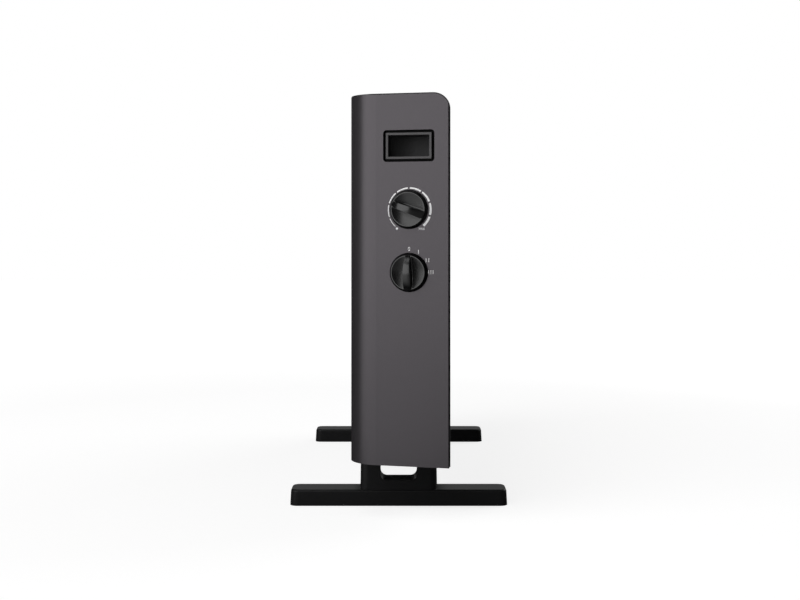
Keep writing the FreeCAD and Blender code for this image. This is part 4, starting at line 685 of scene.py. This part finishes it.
pale_floor = bpy.data.materials.new("pale_floor")
pale_floor.use_nodes = True
floor_tree = pale_floor.node_tree
ray = add_node(floor_tree, "LightPath").outputs
place = object_place(floor_tree)
along = add_node(floor_tree, "SeparateXYZ", {"Vector": place}).outputs
away = add_node(floor_tree, "VectorMath", {0: place}, operation="LENGTH").outputs["Value"]
ahead = reckon(floor_tree, "SUBTRACT", along["X"], thermostat_wall[0][0])
slant = reckon(floor_tree, "DIVIDE", along["Y"], ahead)
# Painted glow, seen only in gloss: the wedge, cleared near the part.
wedge = ramp(floor_tree, slant, wedge_from, wedge_to)
clear = ramp(floor_tree, away, glow_from, glow_to, high=painted_glow_strength)
glow = reckon(floor_tree, "MULTIPLY", wedge, clear)
bright = reckon(floor_tree, "MULTIPLY_ADD", ray["Is Glossy Ray"], glow, ray["Is Camera Ray"])
fade = ramp(floor_tree, away, white_from, white_to, white_near, white_far)
# Painted shade, seen only in gloss: the floor's colour near the part turns dark.
beside = ramp(floor_tree, along["X"], dim_from, dim_to)
dimmed = reckon(floor_tree, "MULTIPLY", beside, ray["Is Glossy Ray"])
fill(floor_tree, floor_tree.nodes["Principled BSDF"], {
    "Base Color": mixed(floor_tree, dimmed, floor_tone, painted_shade_tone),
    "Roughness": 0.9,
    "Specular IOR Level": 0.0,
    "Emission Color": (1.0, 1.0, 1.0, 1.0),
    "Emission Strength": reckon(floor_tree, "MULTIPLY", fade, bright),
})
floor_mesh = bpy.data.meshes.new("floor")
floor_mesh.from_pydata([
    (-floor_reach, -floor_reach, 0.0), (floor_reach, -floor_reach, 0.0),
    (floor_reach, floor_reach, 0.0), (-floor_reach, floor_reach, 0.0),
], [], [(0, 1, 2, 3)])
floor = add_piece("floor", floor_mesh, pale_floor)

# Surround: white where the camera sees it, and a faint even light on the part.
# Gloss mirrors it as a dark studio with a pale backdrop behind the heater.

studio_light = 0.12
studio_dark, backdrop_light = 0.02, 0.36
backdrop_from, backdrop_to = -0.88, -0.99

studio = bpy.data.worlds.new("studio")
bpy.context.scene.world = studio
studio.use_nodes = True
sky = studio.node_tree
sky.nodes.clear()
ray = add_node(sky, "LightPath").outputs
aim = add_node(sky, "TexCoord").outputs["Generated"]
along = add_node(sky, "SeparateXYZ", {"Vector": aim}).outputs
behind = ramp(sky, along["X"], backdrop_from, backdrop_to, studio_dark, backdrop_light)
level = ramp(sky, ray["Is Glossy Ray"], 0.0, 1.0, studio_light, behind)
seen = reckon(sky, "MAXIMUM", ray["Is Camera Ray"], ray["Is Transmission Ray"])
surround = add_node(sky, "Background", {
    "Color": (1.0, 1.0, 1.0, 1.0), "Strength": reckon(sky, "MAXIMUM", seen, level),
})
add_node(sky, "OutputWorld", {"Surface": surround.outputs["Background"]})

# Soft boxes: even area lamps, out of the camera's sight.
# The large key stands beside the camera on the front wall's side and reaches over it; a small
# one above and one behind open up the top and the rear.


def soft_box(name, place, aim, size, power):
    """An area lamp of the given width and height at a place, facing a point."""
    lamp = bpy.data.lights.new(name, "AREA")
    lamp.shape = "RECTANGLE"
    lamp.size, lamp.size_y = size
    lamp.energy = power
    stand = bpy.data.objects.new(name, lamp)
    back = np.array(place) - np.array(aim)
    back = back / np.linalg.norm(back)
    across = np.cross((0.0, 0.0, 1.0), back)
    across = across / np.linalg.norm(across)
    turn = np.eye(4)
    turn[:3] = np.stack((across, np.cross(back, across), back, place), axis=1)
    stand.matrix_world = Matrix(turn.tolist())
    stand.visible_camera = False
    bpy.context.scene.collection.objects.link(stand)


soft_box(
    "key", place=(2.15, -1.79, 1.55), aim=(0.41, 0.14, 1.55), size=(3.65, 3.0), power=86.0,
)
soft_box("top", place=(0.9, -0.6, 2.4), aim=(0.2, 0.0, 0.2), size=(1.2, 1.2), power=8.0)
soft_box("back", place=(-1.6, 2.2, 1.6), aim=(0.0, 0.0, 0.25), size=(2.4, 1.8), power=36.0)
